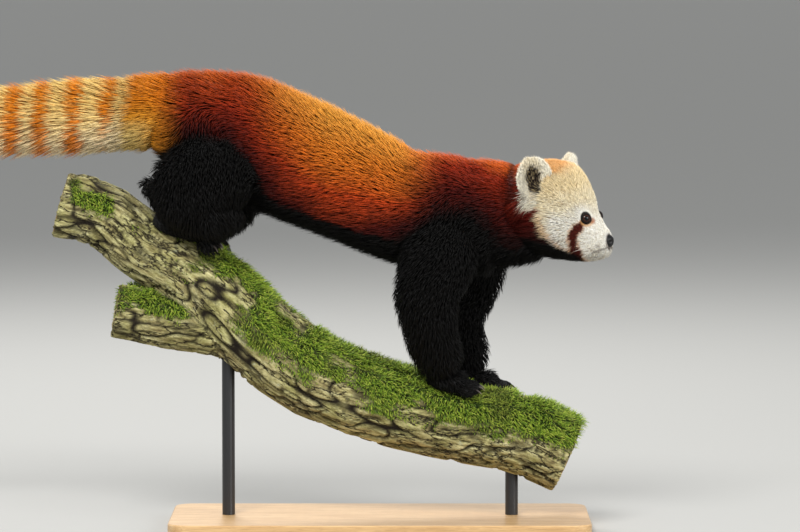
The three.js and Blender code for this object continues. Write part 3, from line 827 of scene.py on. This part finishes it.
def near_line(u, w, line):
    """Distance from points to a line of joined stretches, in a side view."""
    best = np.full(len(u), np.inf)
    here = np.stack([u, w], axis=1)
    for a, b in zip(line[:-1], line[1:]):
        share = np.clip(((here - a) @ (b - a)) / ((b - a) @ (b - a)), 0, 1)
        best = np.minimum(best, norms(here - a - share[:, None] * (b - a)))
    return best


def body_colour(points, normals):
    x, _, z = (points / MM).T
    edge = np.interp(x, *BLACK_LINE.T) + 6 * wander(points, 0.024) + 3 * wander(points, 0.009, 1)
    edge = edge + 45 * fade(-0.45, -0.95, normals[:, 2])
    low = np.interp(x, *RED_LINE.T)
    rise = (z - low + 5 * wander(points, 0.03, 2)) / (np.interp(x, *BACK_LINE.T) - low)
    # Each ramp runs from dark red low on the flank to gold on top of the back: partly the coat's own
    # colouring, partly painted light from above and painted shade low on the flanks.
    back = ramp(rise, (-0.1, "260705"), (0.08, "470e07"), (0.32, "ac3c12"), (0.65, "d67a20"), (1, "eaa63f"))
    rump = ramp(rise, (-0.1, "200504"), (0.12, "480e06"), (0.4, "84240a"), (0.75, "9c390a"), (1, "b85c14"))
    front = ramp(rise, (-0.1, "160403"), (0.12, "220503"), (0.4, "500e05"), (0.75, "92290b"), (1, "d2641a"))
    # Painted shade: a dark patch on the neck just behind the ear.
    painted_shade_behind_ear = np.exp(-(((x - 165) / 7) ** 2)) * fade(398, 415, z) * fade(466, 452, z)
    front = blend(front, paint("1a0704"), 0.8 * painted_shade_behind_ear)
    colour = blend(back, rump, fade(-60, -170, x))
    colour = blend(colour, front, fade(-5, 85, x))
    return blend(colour, paint("060504"), fade(edge + 7, edge - 7, z))


def tail_colour(points):
    x, _, z = (points / MM).T
    middle = np.interp(-x, [238, 345, 470, 590, 700], [524, 515, 508, 496, 470])
    s = (-230 - x) * 1.012 + 0.16 * (z - middle) + 4 * wander(points, 0.016, 3)
    low = fade(16, -22, z - middle) * fade(10, 75, s)
    light = ramp(low, (0, "f0cc7c"), (0.5, "f6d896"), (1, "fbe6bc"))
    dark = ramp(low, (0, "d07a10"), (0.5, "c87014"), (1, "c87428"))
    ring_gap = np.min([np.abs(s - middle_s) for middle_s in DARK_RINGS], axis=0)
    ring_gap = ring_gap + 9 * low * fade(127, 122, s)
    colour = blend(light, dark, fade(RING_HALF + 5.5, RING_HALF - 5.5, ring_gap))
    root = ramp(low, (0, "e48616"), (0.5, "f2a632"), (1, "f8d684"))
    colour = blend(root, colour, fade(78, 96, s))
    return blend(colour, paint("34180c"), fade(DARK_RINGS[-1] + 12, DARK_RINGS[-1] + 24, s))


def head_colour(points, normals):
    """Cream and tan above, white below, and the stripe, the rims and the mouth laid over them."""
    local = to_head(points)
    u, v, w = local.T
    tan = fade(-8, 26, w + 6 * wander(points, 0.014, 5)) * fade(84, 66, u)
    crown = fade(26, 44, w + 6 * wander(points, 0.012, 6)) * fade(66, 44, u)
    white = fade(70, 86, u) * fade(-16, -24, w)
    white = white + fade(-4, -22, w) * fade(38, 52, u)
    brow = np.exp(-(((u - 78) / 10) ** 2) - ((w + 8) / 7) ** 2)
    edge = np.interp(w, *CHEEK_LINE.T) + 2.5 * wander(points, 0.008, 7)
    rim = np.exp(-(((u - edge - 2) / 3.5) ** 2)) * fade(-8, -24, w)
    tear = near_line(u, w, TEAR_LINE) + 1.9 * wander(points, 0.004, 8) - 0.8 * fade(-50, -62, w)
    eye = eye_gap(local)
    inner = norms(np.stack([u - 90, np.abs(v) - 15, w + 22], axis=1))
    speck = fade(0.25, 0.6, wander(points, 0.0035, 9)) * fade(80, 88, u)
    mouth = np.abs(w + 60.5 - 3 * fade(90, 104, u) + 1.3 * wander(points, 0.004, 10))
    nose = norms(local - NOSE_TIP)
    colour = layered(
        np.tile(paint("eee2c4"), (len(u), 1)),
        ("dfc795", 0.65 * tan),
        ("c8863a", 0.8 * crown * fade(50, 36, np.abs(v))),
        ("f2efe6", np.clip(white + 0.8 * brow, 0, 1)),
        ("c48a4c", 0.55 * rim),
        ("c0803e", 0.6 * fade(6.4, 4.0, tear)),
        ("421209", fade(4.9, 2.9, tear)),
        ("0f0908", fade(-62, -67, w) * fade(78, 71, u)),
        ("c09058", 0.75 * fade(13, 10, eye) * fade(-20, -24, w)),
        ("9c5a2c", 0.75 * fade(5.5, 3, inner)),
        ("1a0e09", fade(9.0, 8.0, eye)),
        ("5c4a3c", 0.6 * speck * fade(-44, -54, w)),
        ("33271f", 0.7 * fade(2.0, 0.6, mouth) * fade(83, 93, u)),
        ("4a3c34", 0.8 * fade(12, 9.5, nose)),
    )
    behind = fade(edge + 1.5, edge - 3.5, u) * fade(34, 20, w)
    behind = np.maximum(behind, fade(14, 4, u + 0.2 * w))
    colour = blend(colour, body_colour(points, normals), behind)
    return layered(colour, ("f0ead6", lobe_share(local)))


def ear_colour(inside):
    """Cream outside and on the rim, dark down in the cup, with pale hair at its foot."""
    across, up, out = inside.T
    cup = (across / 9.5) ** 2 + ((up - 3) / 17) ** 2 + 0.35 * wander(inside, 3.0, 13)
    dark = fade(1.4, 0.7, cup) * fade(-7.5, -4.5, out)
    foot = 0.4 * fade(14, 8, np.abs(across))
    return layered(np.tile(paint("f2ecdc"), (len(across), 1)), ("c9b48a", foot), ("1d1410", dark))


def coat_colour(points, normals, tail, head, ear, inside):
    colour = body_colour(points, normals)
    past_rump = fade(-238, -292, points[:, 0] / MM) * fade(474, 484, points[:, 2] / MM)
    colour = blend(colour, tail_colour(points), np.maximum(fade(0.45, 0.75, tail), past_rump))
    colour = blend(colour, head_colour(points, normals), fade(0.15, 0.4, head))
    return blend(colour, ear_colour(inside), fade(0.3, 0.6, ear))


skin_colour = coat_colour(skin_places, skin_normals, tail_share, head_share, ears, ear_place)
print("mean coat colour", [round(float(c), 3) for c in skin_colour.mean(axis=0)])


# %% Paint the skin darker than the hair over it, as painted shade between the tufts
def painted(name, **sockets):
    """A finish that shows the colours painted on a piece's points."""
    shader = Shader(name, **sockets)
    shader.colour(shader.attribute("coat"))
    return shader


def paint_points(mesh, colours, name="coat"):
    layer = mesh.color_attributes.new(name, "FLOAT_COLOR", "POINT")
    layer.data.foreach_set("color", np.hstack([colours, np.ones((len(colours), 1))]).ravel())


# Painted shade: the skin under the hair is darkened, less on the head and ears, so that the gaps between
# tufts read dark.
painted_shade_under_hair = 0.3 + 0.45 * np.maximum(head_share, ears)
paint_points(skin.data, skin_colour * painted_shade_under_hair[:, None])
skin_finish = painted("skin_finish", Roughness=0.8)
skin_finish.bump(skin_finish.noise(900, 3), 0.4, 0.0006)
skin.data.materials.append(skin_finish.material)


# %% Unwrap the skin onto a map named OFBake
def unwrap(piece):
    bpy.ops.object.select_all(action="DESELECT")
    piece.select_set(True)
    bpy.context.view_layer.objects.active = piece
    piece.data.uv_layers.new(name="OFBake")
    bpy.ops.object.mode_set(mode="EDIT")
    bpy.ops.mesh.select_all(action="SELECT")
    bpy.ops.uv.smart_project(angle_limit=math.radians(66), island_margin=0.002)
    bpy.ops.object.mode_set(mode="OBJECT")


def uv_at(mesh, loops, chosen, shares):
    """Places on a mesh's map, for points given by their triangles and corner shares."""
    uv = read_out(mesh.uv_layers["OFBake"].data, "uv", 2)
    return np.einsum("ni,nij->nj", shares, uv[loops[chosen]])


unwrap(skin)
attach(skin, "root")
flesh = ["torso", "neck", "head", "tail_root", "tail_tip"]
for limb in ("ear", "foreleg", "forepaw", "hindleg", "hindfoot"):
    flesh += [f"{limb}_left", f"{limb}_right"]
flesh += [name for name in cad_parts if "_ring_" in name]
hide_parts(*flesh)

# %% [markdown]
# ## The coat
# A tuft is a thin bent blade with three sides: a ring of three points at its root, one or two more
# rings on the way, and a single point at its tip. Roots are drawn at random over the skin's triangles,
# so many to a square millimetre, and all tufts of a piece are written into one mesh from arrays. Hair
# curves would be lighter, but only a mesh leaves Blender as a surface, and so many blades made one at a
# time would take far too long.

# %% Draw the roots
luck = np.random.default_rng(31)


def draw_roots(places, triangles, density):
    """Random roots over a surface: their triangles and their shares of its three corners."""
    a, b, c = (places[triangles[:, i]] for i in range(3))
    area = norms(np.cross(b - a, c - a)) / 2
    many = np.cumsum(area * density[triangles].mean(axis=1) / MM**2)
    count = int(many[-1])
    spots = (np.arange(count) + luck.random(count)) * many[-1] / count
    chosen = np.searchsorted(many, spots).clip(0, len(triangles) - 1)
    r1, r2 = np.sqrt(luck.random(count)), luck.random(count)
    shares = np.stack([1 - r1, r1 * (1 - r2), r1 * r2], axis=1)
    return chosen, shares


def at_roots(field, triangles, chosen, shares):
    """A field of the vertices, read at the roots."""
    return np.einsum("ni,ni...->n...", shares, field[triangles[chosen]])


chosen, shares = draw_roots(skin_places, skin_triangles, values["density"])
print("tufts", len(chosen))


# %% Build many tufts as one mesh
# How deep a tuft is rooted, and the size of its patch on the map.
ROOT_DEPTH = 0.8 * MM
PATCH = 0.003


def tuft_mesh(name, root, out, lie, length, lean, width, low, high, uv, rings=2, bend=34, flatness=0.4):
    """Blades that leave their roots at a steep angle and bend over along the lie."""
    count = len(root)
    side = unit(np.cross(out, lie))
    steps = np.linspace(0, 1, rings + 1)
    centre = root - out * ROOT_DEPTH
    levels = []
    for k, share in enumerate(steps):
        if k:
            tilt = lean + np.radians(bend) * (0.5 - (share - 0.5 / rings)) * 1.3
            way = lie * np.cos(tilt)[:, None] + out * np.sin(tilt)[:, None]
            centre = centre + way * (length / rings)[:, None]
        levels.append((centre, share))
    points = np.empty((count, 3 * rings + 1, 3))
    tone = np.empty((count, 3 * rings + 1, 3))
    patch = np.empty((count, 3 * rings + 1, 2))
    for k, (centre, share) in enumerate(levels):
        colour = blend(low, high, np.full(count, share**1.15))
        if k == rings:
            points[:, -1], tone[:, -1] = centre, colour
            patch[:, -1] = uv + (0, PATCH / 2)
            continue
        half = (width * (0.8 + 0.35 * share) * (1 - share) ** 0.35 / 2)[:, None]
        for j, (across, over) in enumerate(((-1, 0), (1, 0), (0, 1))):
            points[:, 3 * k + j] = centre + side * half * across + out * half * 2 * flatness * over
            tone[:, 3 * k + j] = colour
            patch[:, 3 * k + j] = uv + (0.4 * PATCH * across, PATCH * share - PATCH / 2)
    faces = [(0, 2, 1)]
    for k in range(rings):
        for i in range(3):
            a, b = 3 * k + i, 3 * k + (i + 1) % 3
            faces += [(a, b, 3 * rings)] if k == rings - 1 else [(a, b, b + 3), (a, b + 3, a + 3)]
    faces = np.array(faces)
    corners = (np.arange(count)[:, None, None] * (3 * rings + 1) + faces).ravel()
    mesh = bpy.data.meshes.new(name)
    mesh.vertices.add(count * (3 * rings + 1))
    mesh.vertices.foreach_set("co", points.ravel())
    mesh.loops.add(len(corners))
    mesh.loops.foreach_set("vertex_index", corners)
    mesh.polygons.add(len(corners) // 3)
    mesh.polygons.foreach_set("loop_start", np.arange(0, len(corners), 3))
    mesh.uv_layers.new(name="OFBake").data.foreach_set("uv", patch.reshape(-1, 2)[corners].ravel())
    mesh.update(calc_edges=True)
    paint_points(mesh, tone.reshape(-1, 3))
    return mesh


# %% The finish of the hair
hair = painted("hair", Roughness=0.6, Specular_IOR_Level=0.15)
# The most tufts in one piece, by the number of rings below their tips.
MOST_TUFTS = {2: 19000, 3: 12000}
# Tips are lighter than the coat's own colour, up to a limit.
TIP_GAIN = 1.3
TIP_LIMIT = 0.88


def no_brighter(colours, most):
    """Colours whose brightest channel is held down to a limit, with their tint kept."""
    return colours * np.minimum(1, most / np.maximum(colours.max(axis=1, keepdims=True), 1e-6))


def tuft_tones(colour, root, on_head, on_ear, on_tail):
    """Each tuft's colours at root and tip: flecked on the face, with pale strays in the ears, and darker
    roots painted as shade between the tufts.
    """
    count = len(root)
    pale = np.maximum(on_head, on_ear)
    fleck = luck.random(count) < 0.13 * fade(0.4, 0.8, pale) * (1 - on_ear)
    colour = layered(colour, ("7d6547", 0.7 * fleck * fade(0.15, 0.4, colour[:, 2])))
    stray = (luck.random(count) < 0.25) * on_ear * (colour.max(axis=1) < 0.1)
    colour = layered(colour, ("a09070", 0.7 * stray))
    shade = 1.35 - (0.8 - 0.4 * pale) * luck.random(count) + 0.12 * wander(root, 0.012, 12)
    gold = 1 + luck.random(count)[:, None] ** 2 * np.array([0.35, 0.3, 0.1])
    high = no_brighter(colour * shade[:, None] * TIP_GAIN * gold, TIP_LIMIT)
    # Painted shade: each root is darker than its tip, least on the pale face, ears and tail, so that the
    # depths between tufts read dark.
    low = colour * (0.14 + 0.56 * pale + 0.45 * on_tail)[:, None]
    return low, high


def coat_pieces(name, choice, rings=2):
    """The chosen tufts, cut into pieces that stay small enough to store."""
    triangle, share = chosen[choice], shares[choice]

    def read(field):
        return at_roots(field, skin_triangles, triangle, share)

    root, out = read(skin_places), unit(read(skin_normals))
    on_head, on_ear, on_tail = read(head_share), read(ears), read(tail_share)
    count = len(root)
    swirl = wander(root, 0.022, 11)[:, None] * 0.22 + luck.normal(0, 0.13, (count, 1))
    way = read(lie)
    way = unit(way - out * np.sum(way * out, axis=1, keepdims=True))
    way = unit(way + np.cross(out, way) * swirl)
    length = read(values["length"]) * MM * luck.uniform(0.72, 1.15, count)
    lean = np.radians(read(values["lean"]) * luck.uniform(0.75, 1.25, count))
    width = read(values["width"]) * MM * luck.uniform(0.8, 1.25, count)
    seen = root + way * (length * np.cos(lean) * 0.6)[:, None]
    inside = ear_place[skin_triangles[triangle, 0]]
    colour = coat_colour(seen, out, on_tail, on_head, on_ear, inside)
    low, high = tuft_tones(colour, root, on_head, on_ear, on_tail)
    uv = uv_at(skin.data, skin_loops, triangle, share)
    order = np.argsort(root[:, 0])
    parts = np.array_split(order, math.ceil(count / MOST_TUFTS[rings]))
    for i, piece in enumerate(parts):
        mesh = tuft_mesh(
            f"{name}_{i + 1:02d}", root[piece], out[piece], way[piece], length[piece], lean[piece],
            width[piece], low[piece], high[piece], uv[piece], rings,
        )
        ridden(new_piece(mesh.name, mesh, hair.material))
    print(name, count, "tufts in", len(parts), "pieces")


tail_tufts = at_roots(tail_share, skin_triangles, chosen, shares) > 0.5
head_tufts = at_roots(head_share, skin_triangles, chosen, shares)
head_tufts = head_tufts + at_roots(ears, skin_triangles, chosen, shares) > 0.5
coat_pieces("coat_head", head_tufts)
coat_pieces("coat_tail", tail_tufts, rings=3)
coat_pieces("coat_body", ~head_tufts & ~tail_tufts)


# %% [markdown]
# ## Eyes, lids, nose and claws
# The eyes are glossy dark brown balls with black pupils, held by dark lids. A lid is an even roll that
# follows the ball, so a ring is spun round the line of sight and drawn over it. The nose is a black,
# finely grained pad: a ball with two nostrils and a groove pressed in. The claws are half drawn in, and
# each is a cone with cuts round its sides, so that it can bend.

# %% Eyes and lids
eye_finish = Shader("eye_finish", Roughness=0.05, Specular_IOR_Level=0.24)
IRIS = [(0.7, "030202"), (0.78, "240f06"), (0.86, "3a1a0a"), (0.91, "020101")]
eye_finish.colour(eye_finish.ramp(eye_finish.attribute("gaze", "Fac"), IRIS))
lid_finish = painted("lid_finish", Roughness=0.6, Specular_IOR_Level=0.15)
lid_finish.bump(lid_finish.noise(1800, 3), 0.4, 0.0003)
LID_TUBE = 1.0
LID_RING = 3.0


def lids(side):
    """A ring spun round the line of sight, then drawn over the eyeball from the opening outwards."""
    bm = bmesh.new()
    ring = bmesh.ops.create_circle(bm, segments=14, radius=LID_TUBE * MM)["verts"]
    bmesh.ops.rotate(bm, verts=ring, cent=(0, 0, 0), matrix=Matrix.Rotation(math.pi / 2, 3, "X"))
    bmesh.ops.translate(bm, verts=ring, vec=(LID_RING * MM, 0, 0))
    bmesh.ops.spin(
        bm, geom=bm.verts[:] + bm.edges[:], cent=(0, 0, 0), axis=(0, 0, 1), angle=2 * math.pi,
        steps=44, use_merge=True,
    )
    ahead = Vector(gaze_of(side))
    front = (Vector((1, 0, -0.25)) - ahead * ahead.dot(Vector((1, 0, -0.25)))).normalized()
    over = ahead.cross(front) * (-side)
    shares = []
    for vertex in bm.verts:
        round_eye = math.atan2(vertex.co.y, vertex.co.x)
        out = math.hypot(vertex.co.x, vertex.co.y) / MM - LID_RING
        section = math.atan2(vertex.co.z / MM, out)
        share = 0.5 + 0.5 * math.cos(section)
        corner = max(0.0, math.cos(round_eye)) ** 6 + 0.4 * max(0.0, -math.cos(round_eye)) ** 6
        opening = math.radians(47 + 12 * corner - 4 * abs(math.sin(round_eye)))
        polar = opening + (math.radians(112) - opening) * share
        radius = EYE_RADIUS + 0.05 + 0.75 * math.sin(section) * (1 if section > 0 else 0.3)
        way = front * math.cos(round_eye) + over * math.sin(round_eye)
        place = (ahead * math.cos(polar) + way * math.sin(polar)) * radius
        vertex.co = Vector(from_head(EYES[side] + np.array(place)))
        shares.append(share)
    bmesh.ops.recalc_face_normals(bm, faces=bm.faces)
    return bm, np.array(shares)


for side, name in ((-1, "right"), (1, "left")):
    gaze = gaze_of(side) @ HEAD_TURN.T
    centre = from_head(EYES[side])
    bm = bmesh.new()
    bmesh.ops.create_uvsphere(bm, u_segments=40, v_segments=28, radius=EYE_RADIUS * MM)
    bmesh.ops.translate(bm, verts=bm.verts, vec=Vector(centre))
    eyeball = ridden(new_piece(f"eyeball_{name}", bm, eye_finish.material))
    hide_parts(f"eye_{name}")
    facing = unit(read_out(eyeball.data.vertices, "co", 3) - centre) @ gaze
    layer = eyeball.data.attributes.new("gaze", "FLOAT", "POINT")
    layer.data.foreach_set("value", np.clip(facing, 0, 1))

    bm, shares = lids(side)
    lid_pair = ridden(new_piece(f"lids_{name}", bm, lid_finish.material))
    black = np.tile(paint("0d0706"), (len(shares), 1))
    paint_points(lid_pair.data, layered(black, ("1a100b", fade(0.14, 0.4, shares))))
print("eyes at", [[round(float(c), 3) for c in from_head(place)] for place in EYES.values()])


# %% Nose
def copy_of(*names):
    """The CAD nodes' shapes in one bmesh, with their loose triangles merged."""
    bm = bmesh.new()
    for name in names:
        bm.from_mesh(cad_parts[name].data)
    bmesh.ops.remove_doubles(bm, verts=bm.verts, dist=1e-6)
    return bm


NOSE = {"centre": (103.4, 0, -48), "sizes": (8.8, 8.8, 8.6)}
NOSTRIL = {"centre": (7.2, 4.6, -0.4), "depth": 3.2}
bm = bmesh.new()
bmesh.ops.create_uvsphere(bm, u_segments=48, v_segments=32, radius=1)
for vertex in bm.verts:
    place = np.array(vertex.co) * NOSE["sizes"]
    for side in (-1, 1):
        hole = np.array(NOSTRIL["centre"]) * (1, side, 1)
        apart = (place - hole) / (3.0, 2.6, 1.7 + 0.5 * abs(place[1] - hole[1]))
        place[0] -= NOSTRIL["depth"] * math.exp(-(apart @ apart) * 1.4)
    place[0] -= 1.3 * math.exp(-((place[1] / 0.8) ** 2)) * (place[2] < 1)
    place[1] *= 1 - 0.22 * max(0.0, -place[2] / NOSE["sizes"][2])
    vertex.co = Vector(from_head(place + NOSE["centre"]))
nose_finish = Shader(
    "nose_finish", Base_Color=(*paint("070607"), 1), Roughness=0.36, Specular_IOR_Level=0.3
)
nose_finish.bump(nose_finish.noise(1500, 2), 0.5, 0.0004)
nose = ridden(new_piece("nose_pad", bm, nose_finish.material))
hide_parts("nose")

# %% Claws
CLAW = 10
claw_finish = Shader("claw_finish", Roughness=0.3)
CLAW_TONES = [(0, "14100e"), (0.7, "4a4038"), (1, "8a7c6c")]
claw_finish.colour(claw_finish.ramp(claw_finish.attribute("tip", "Fac"), CLAW_TONES))
bm = bmesh.new()
layer = bm.verts.layers.float.new("tip")
for rows in FEET.values():
    for root, way, up in toes_of(rows):
        made = bmesh.ops.create_cone(
            bm, cap_ends=True, segments=10, radius1=2.0 * MM, radius2=0.25 * MM, depth=CLAW * MM
        )["verts"]
        sides = {e for v in made for e in v.link_edges if e.calc_length() > 0.8 * CLAW * MM}
        bmesh.ops.subdivide_edges(bm, edges=[*sides], cuts=5)
        # Only the new claw is still at the origin.
        loose = [v for v in bm.verts if v[layer] == 0.0 and v.co.length < 0.02]
        start = Vector((root + way * 17 + up * 2.5) * MM)
        turn = Vector(way).to_track_quat("Z", "X").to_matrix()
        for vertex in loose:
            share = vertex.co.z / (CLAW * MM) + 0.5
            vertex[layer] = 0.01 + share
            vertex.co = start + turn @ Vector((vertex.co.x, vertex.co.y, share * CLAW * MM))
            vertex.co -= Vector(up) * 4.0 * MM * share**2
claws = ridden(new_piece("claws", bm, claw_finish.material))
print("claw faces", len(claws.data.polygons))

# %% Whiskers
count = 22
side = np.where(np.arange(count) % 2, 1.0, -1.0)
row = (np.arange(count) // 2) / (count // 2 - 1)
root = np.stack([99 - 14 * row, side * (11 + 8 * row), -55 + 3 * np.cos(row * 9)], axis=1)
out = unit(np.stack([0.25 + 0 * row, side, -0.15 + 0 * row], axis=1)) @ HEAD_TURN.T
way = unit(np.stack([-0.5 - 0.4 * row, side * 0.5, -0.5 + 0.9 * luck.random(count)], axis=1)) @ HEAD_TURN.T
low, high = (np.tile(paint(code), (count, 1)) for code in ("cfc6b2", "f4f0e6"))
uv = np.stack([0.05 + 0.04 * np.arange(count), np.full(count, 0.004)], axis=1)
whisker = tuft_mesh(
    "whiskers", from_head(root), out, way, luck.uniform(16, 30, count) * MM,
    np.full(count, math.radians(25)), np.full(count, 0.5 * MM), low, high, uv, rings=4, bend=30,
)
ridden(new_piece("whiskers", whisker, hair.material))
print("whiskers", count)

# %% [markdown]
# ## The perch
# The limb is old, with deep cracked bark, pale lichen, and moss on its upper side. The solid's shape is
# remeshed fine enough to carry the cracks, and the moss is short blades rooted where the bark faces up.
# Deep cracks move the surface, because they show in its outline. Fine ones are colour and bump only.

# %% Bark
FORK = [
    [-120, 0, 222, 30, 30, 0],
    [-200, -2, 250, 36, 37, 0],
    [-270, -6, 262, 34, 35, 0],
    [-330, -12, 272, 32, 33, 0],
]


def straightened(rows, points, count=160):
    """Places as if the stretch were straight: along it in x, and off its middle line in y and z."""
    t = np.linspace(0, 1, count)
    centre, along, across, up = axes(rows, t, False)
    centre = centre * MM
    run = np.concatenate([[0], np.cumsum(norms(np.diff(centre, axis=0)))])
    best, which = closest(points, centre, np.ones(count))
    apart = points - centre[which]
    off = [np.sum(apart * way[which], axis=1) for way in (along, across, up)]
    return best, np.stack([run[which] + off[0], off[1], off[2]], axis=1)


BARK_VOXEL = 2.5 * MM
bark = melted("bark", copy_of("perch_limb", "perch_fork"), BARK_VOXEL, 3)
places, normals = corners_of(bark.data)[:2]
main_gap, straight = straightened(LIMB, places)
fork_gap, fork_straight = straightened(FORK, places)
on_fork = (fork_gap / 34 < main_gap / 50) & (places[:, 0] < -0.19) & (places[:, 2] < 0.31)
straight[on_fork] = fork_straight[on_fork] + (1.0, 0, 0)
drawn = straight * (0.3, 1, 1)
fissure = fade(0.16, 0.02, np.abs(wander(drawn, 0.013, 21)))
fissure = np.maximum(fissure, 0.7 * fade(0.2, 0.03, np.abs(wander(drawn, 0.0075, 22))))
_, grain = nearest_on(LIMB, places)
facing_end = np.abs(np.sum(normals * grain, axis=1))
ends = (places[:, 0] < -0.38) | (places[:, 0] > 0.2) | ((places[:, 0] < -0.31) & (places[:, 2] < 0.32))
end_cut = fade(0.9, 0.98, facing_end) * ends
lift = 0.9 - 3.4 * fissure + 1.4 * wander(places, 0.045, 23) + 0.7 * wander(drawn, 0.009, 24)
bark.data.vertices.foreach_set("co", (places + normals * (lift * (1 - end_cut) * MM)[:, None]).ravel())
bark.data.update()

# Moss grows where the bark faces up: thick from the hind feet forward, thin patches behind them.
patches = wander(places, 0.05, 31) + 0.6 * wander(places, 0.018, 32)
rear = fade(-0.17, -0.25, places[:, 0])
mossy = fade(-0.1, 0.4, normals[:, 2] + 0.3 * patches - 0.15 * rear)
mossy *= fade(-0.9 + 0.8 * rear, -0.4 + 0.8 * rear, patches) * (1 - end_cut)
paint_points(bark.data, np.stack([fissure, end_cut, mossy], axis=1), "marks")
layer = bark.data.attributes.new("straight", "FLOAT_VECTOR", "POINT")
layer.data.foreach_set("vector", straight.ravel())
print("bark faces", len(bark.data.polygons))

# %% The finish of the bark
bark_finish = Shader("bark_finish", Roughness=0.9, Specular_IOR_Level=0.25)
split = bark_finish.add("ShaderNodeSeparateColor")
bark_finish.join(bark_finish.attribute("marks"), split.inputs[0])


def along_limb(scale, kind="ShaderNodeTexNoise", **settings):
    """A texture read in the straightened limb, drawn out along it."""
    mapping = bark_finish.add("ShaderNodeMapping", Scale=(0.28, 1, 1))
    bark_finish.join(bark_finish.attribute("straight", "Vector"), mapping.inputs["Vector"])
    node = bark_finish.add(kind, Scale=scale, **settings)
    bark_finish.join(mapping.outputs["Vector"], node.inputs["Vector"])
    return node.outputs


def cracks(lines, grey):
    """Thin lines where a noise passes its middle value."""
    stops = [(0.478, "000000"), (0.497, grey), (0.503, grey), (0.522, "000000")]
    return bark_finish.ramp(lines, stops)


rough = along_limb(130, Detail=9, Roughness=0.72)["Fac"]
wide_lines = along_limb(48, Detail=5, Roughness=0.6)["Fac"]
fine_lines = along_limb(105, Detail=5, Roughness=0.6)["Fac"]
bark_tone = bark_finish.ramp(rough, [(0.32, "574930"), (0.46, "9a9060"), (0.6, "c8c08c"), (0.75, "e2dcbc")])
green_cast = bark_finish.ramp(bark_finish.noise(26, 6, roughness=0.7), [(0.42, "000000"), (0.62, "8a8a8a")])
bark_tone = bark_finish.mix(green_cast, bark_tone, "7f8a35")
lichen = bark_finish.ramp(bark_finish.noise(34, 7, roughness=0.75), [(0.62, "000000"), (0.66, "cccccc")])
bark_tone = bark_finish.mix(lichen, bark_tone, "b4b79a")
plate_edge = bark_finish.mix(1.0, cracks(wide_lines, "ffffff"), cracks(fine_lines, "999999"), "LIGHTEN")
bark_tone = bark_finish.mix(plate_edge, bark_tone, "241b0f")
bark_tone = bark_finish.mix(split.outputs[0], bark_tone, "1c150b")
# Under the moss the bark is painted dark green: partly the moss's own colour, partly painted shade beneath
# its blades.
bark_tone = bark_finish.mix(split.outputs[2], bark_tone, "2b3a0c")
wood = bark_finish.ramp(bark_finish.noise(240, 5, stretch=(0.2, 1, 1)), [(0.35, "a98a5c"), (0.7, "cfb78a")])
bark_finish.colour(bark_finish.mix(split.outputs[1], bark_tone, wood))
bark_finish.bump(bark_finish.mix(plate_edge, rough, "000000"), 1.0, 0.004)
bark.data.materials.append(bark_finish.material)
unwrap(bark)
ridden(bark)
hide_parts("perch_limb", "perch_fork")
print("bark mapped in", len(bark.data.loops), "corners")

# %% Moss
places, normals, triangles, loops = corners_of(bark.data)
moss_chosen, moss_shares = draw_roots(places, triangles, 0.33 * mossy)
root = at_roots(places, triangles, moss_chosen, moss_shares)
out = unit(at_roots(normals, triangles, moss_chosen, moss_shares))
moss_uv = uv_at(bark.data, loops, moss_chosen, moss_shares)
count = len(root)
drift = np.stack([wander(root, 0.02, 33), wander(root, 0.02, 34), wander(root, 0.02, 35)], axis=1)
way = 0.7 * drift + luck.normal(0, 0.4, (count, 3)) + np.array([0.2, 0, -0.9])
way = unit(way - out * np.sum(way * out, axis=1, keepdims=True))
thick = at_roots(mossy, triangles, moss_chosen, moss_shares)
green = ramp(luck.random(count), (0, "547410"), (0.4, "82a61c"), (0.75, "aec834"), (1, "d4dc5c"))
green = blend(green, paint("6d6a24"), 0.45 * fade(0.1, 0.6, wander(root, 0.03, 36)))
moss_finish = painted("moss_finish", Roughness=0.75)
parts = np.array_split(np.arange(count), math.ceil(count / MOST_TUFTS[2]))
for i, part in enumerate(parts):
    size = len(part)
    # Painted shade: each blade's root is painted at 0.28 of its colour, darkest down in the moss.
    mesh = tuft_mesh(
        f"moss_{i + 1:02d}", root[part], out[part], way[part],
        (4 + 9 * thick[part] * luck.uniform(0.4, 1.1, size)) * MM, np.radians(luck.uniform(22, 68, size)),
        luck.uniform(0.9, 1.5, size) * MM, green[part] * 0.28, green[part], moss_uv[part],
    )
    ridden(new_piece(mesh.name, mesh, moss_finish.material))
print("moss", count)

# %% [markdown]
# ## The stand
# A plain oak board carries two black steel rods. Both keep their solids, which have the right shape,
# and get a finish: straight grain and open pores on the oak, a fine orange peel on the paint.

# %% Oak and steel
oak = Shader("oak", Roughness=0.42, Coat_Weight=0.25, Coat_Roughness=0.25)
grain_noise = oak.noise(9, 6, stretch=(1.2, 22, 22), roughness=0.6, distortion=0.4)
pores = oak.ramp(oak.noise(60, 3, stretch=(1, 30, 30)), [(0.36, "7d5a33"), (0.46, "ffffff")])
oak_tone = oak.ramp(grain_noise, [(0.3, "b58d5c"), (0.55, "cba674"), (0.75, "dcbd8e")])
oak.colour(oak.mix(0.35, oak_tone, pores, "MULTIPLY"))
oak.bump(oak.noise(60, 3, stretch=(1, 30, 30)), 0.25, 0.0004)
steel = Shader("steel", Metallic=0.0, Roughness=0.38, Base_Color=(*paint("1c1c1e"), 1))
steel.bump(steel.noise(700, 2), 0.12, 0.0002)
for name, shader in (("stand_base", oak), ("stand_rod_front", steel), ("stand_rod_rear", steel)):
    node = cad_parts[name]
    node.data.materials.clear()
    node.data.materials.append(shader.material)
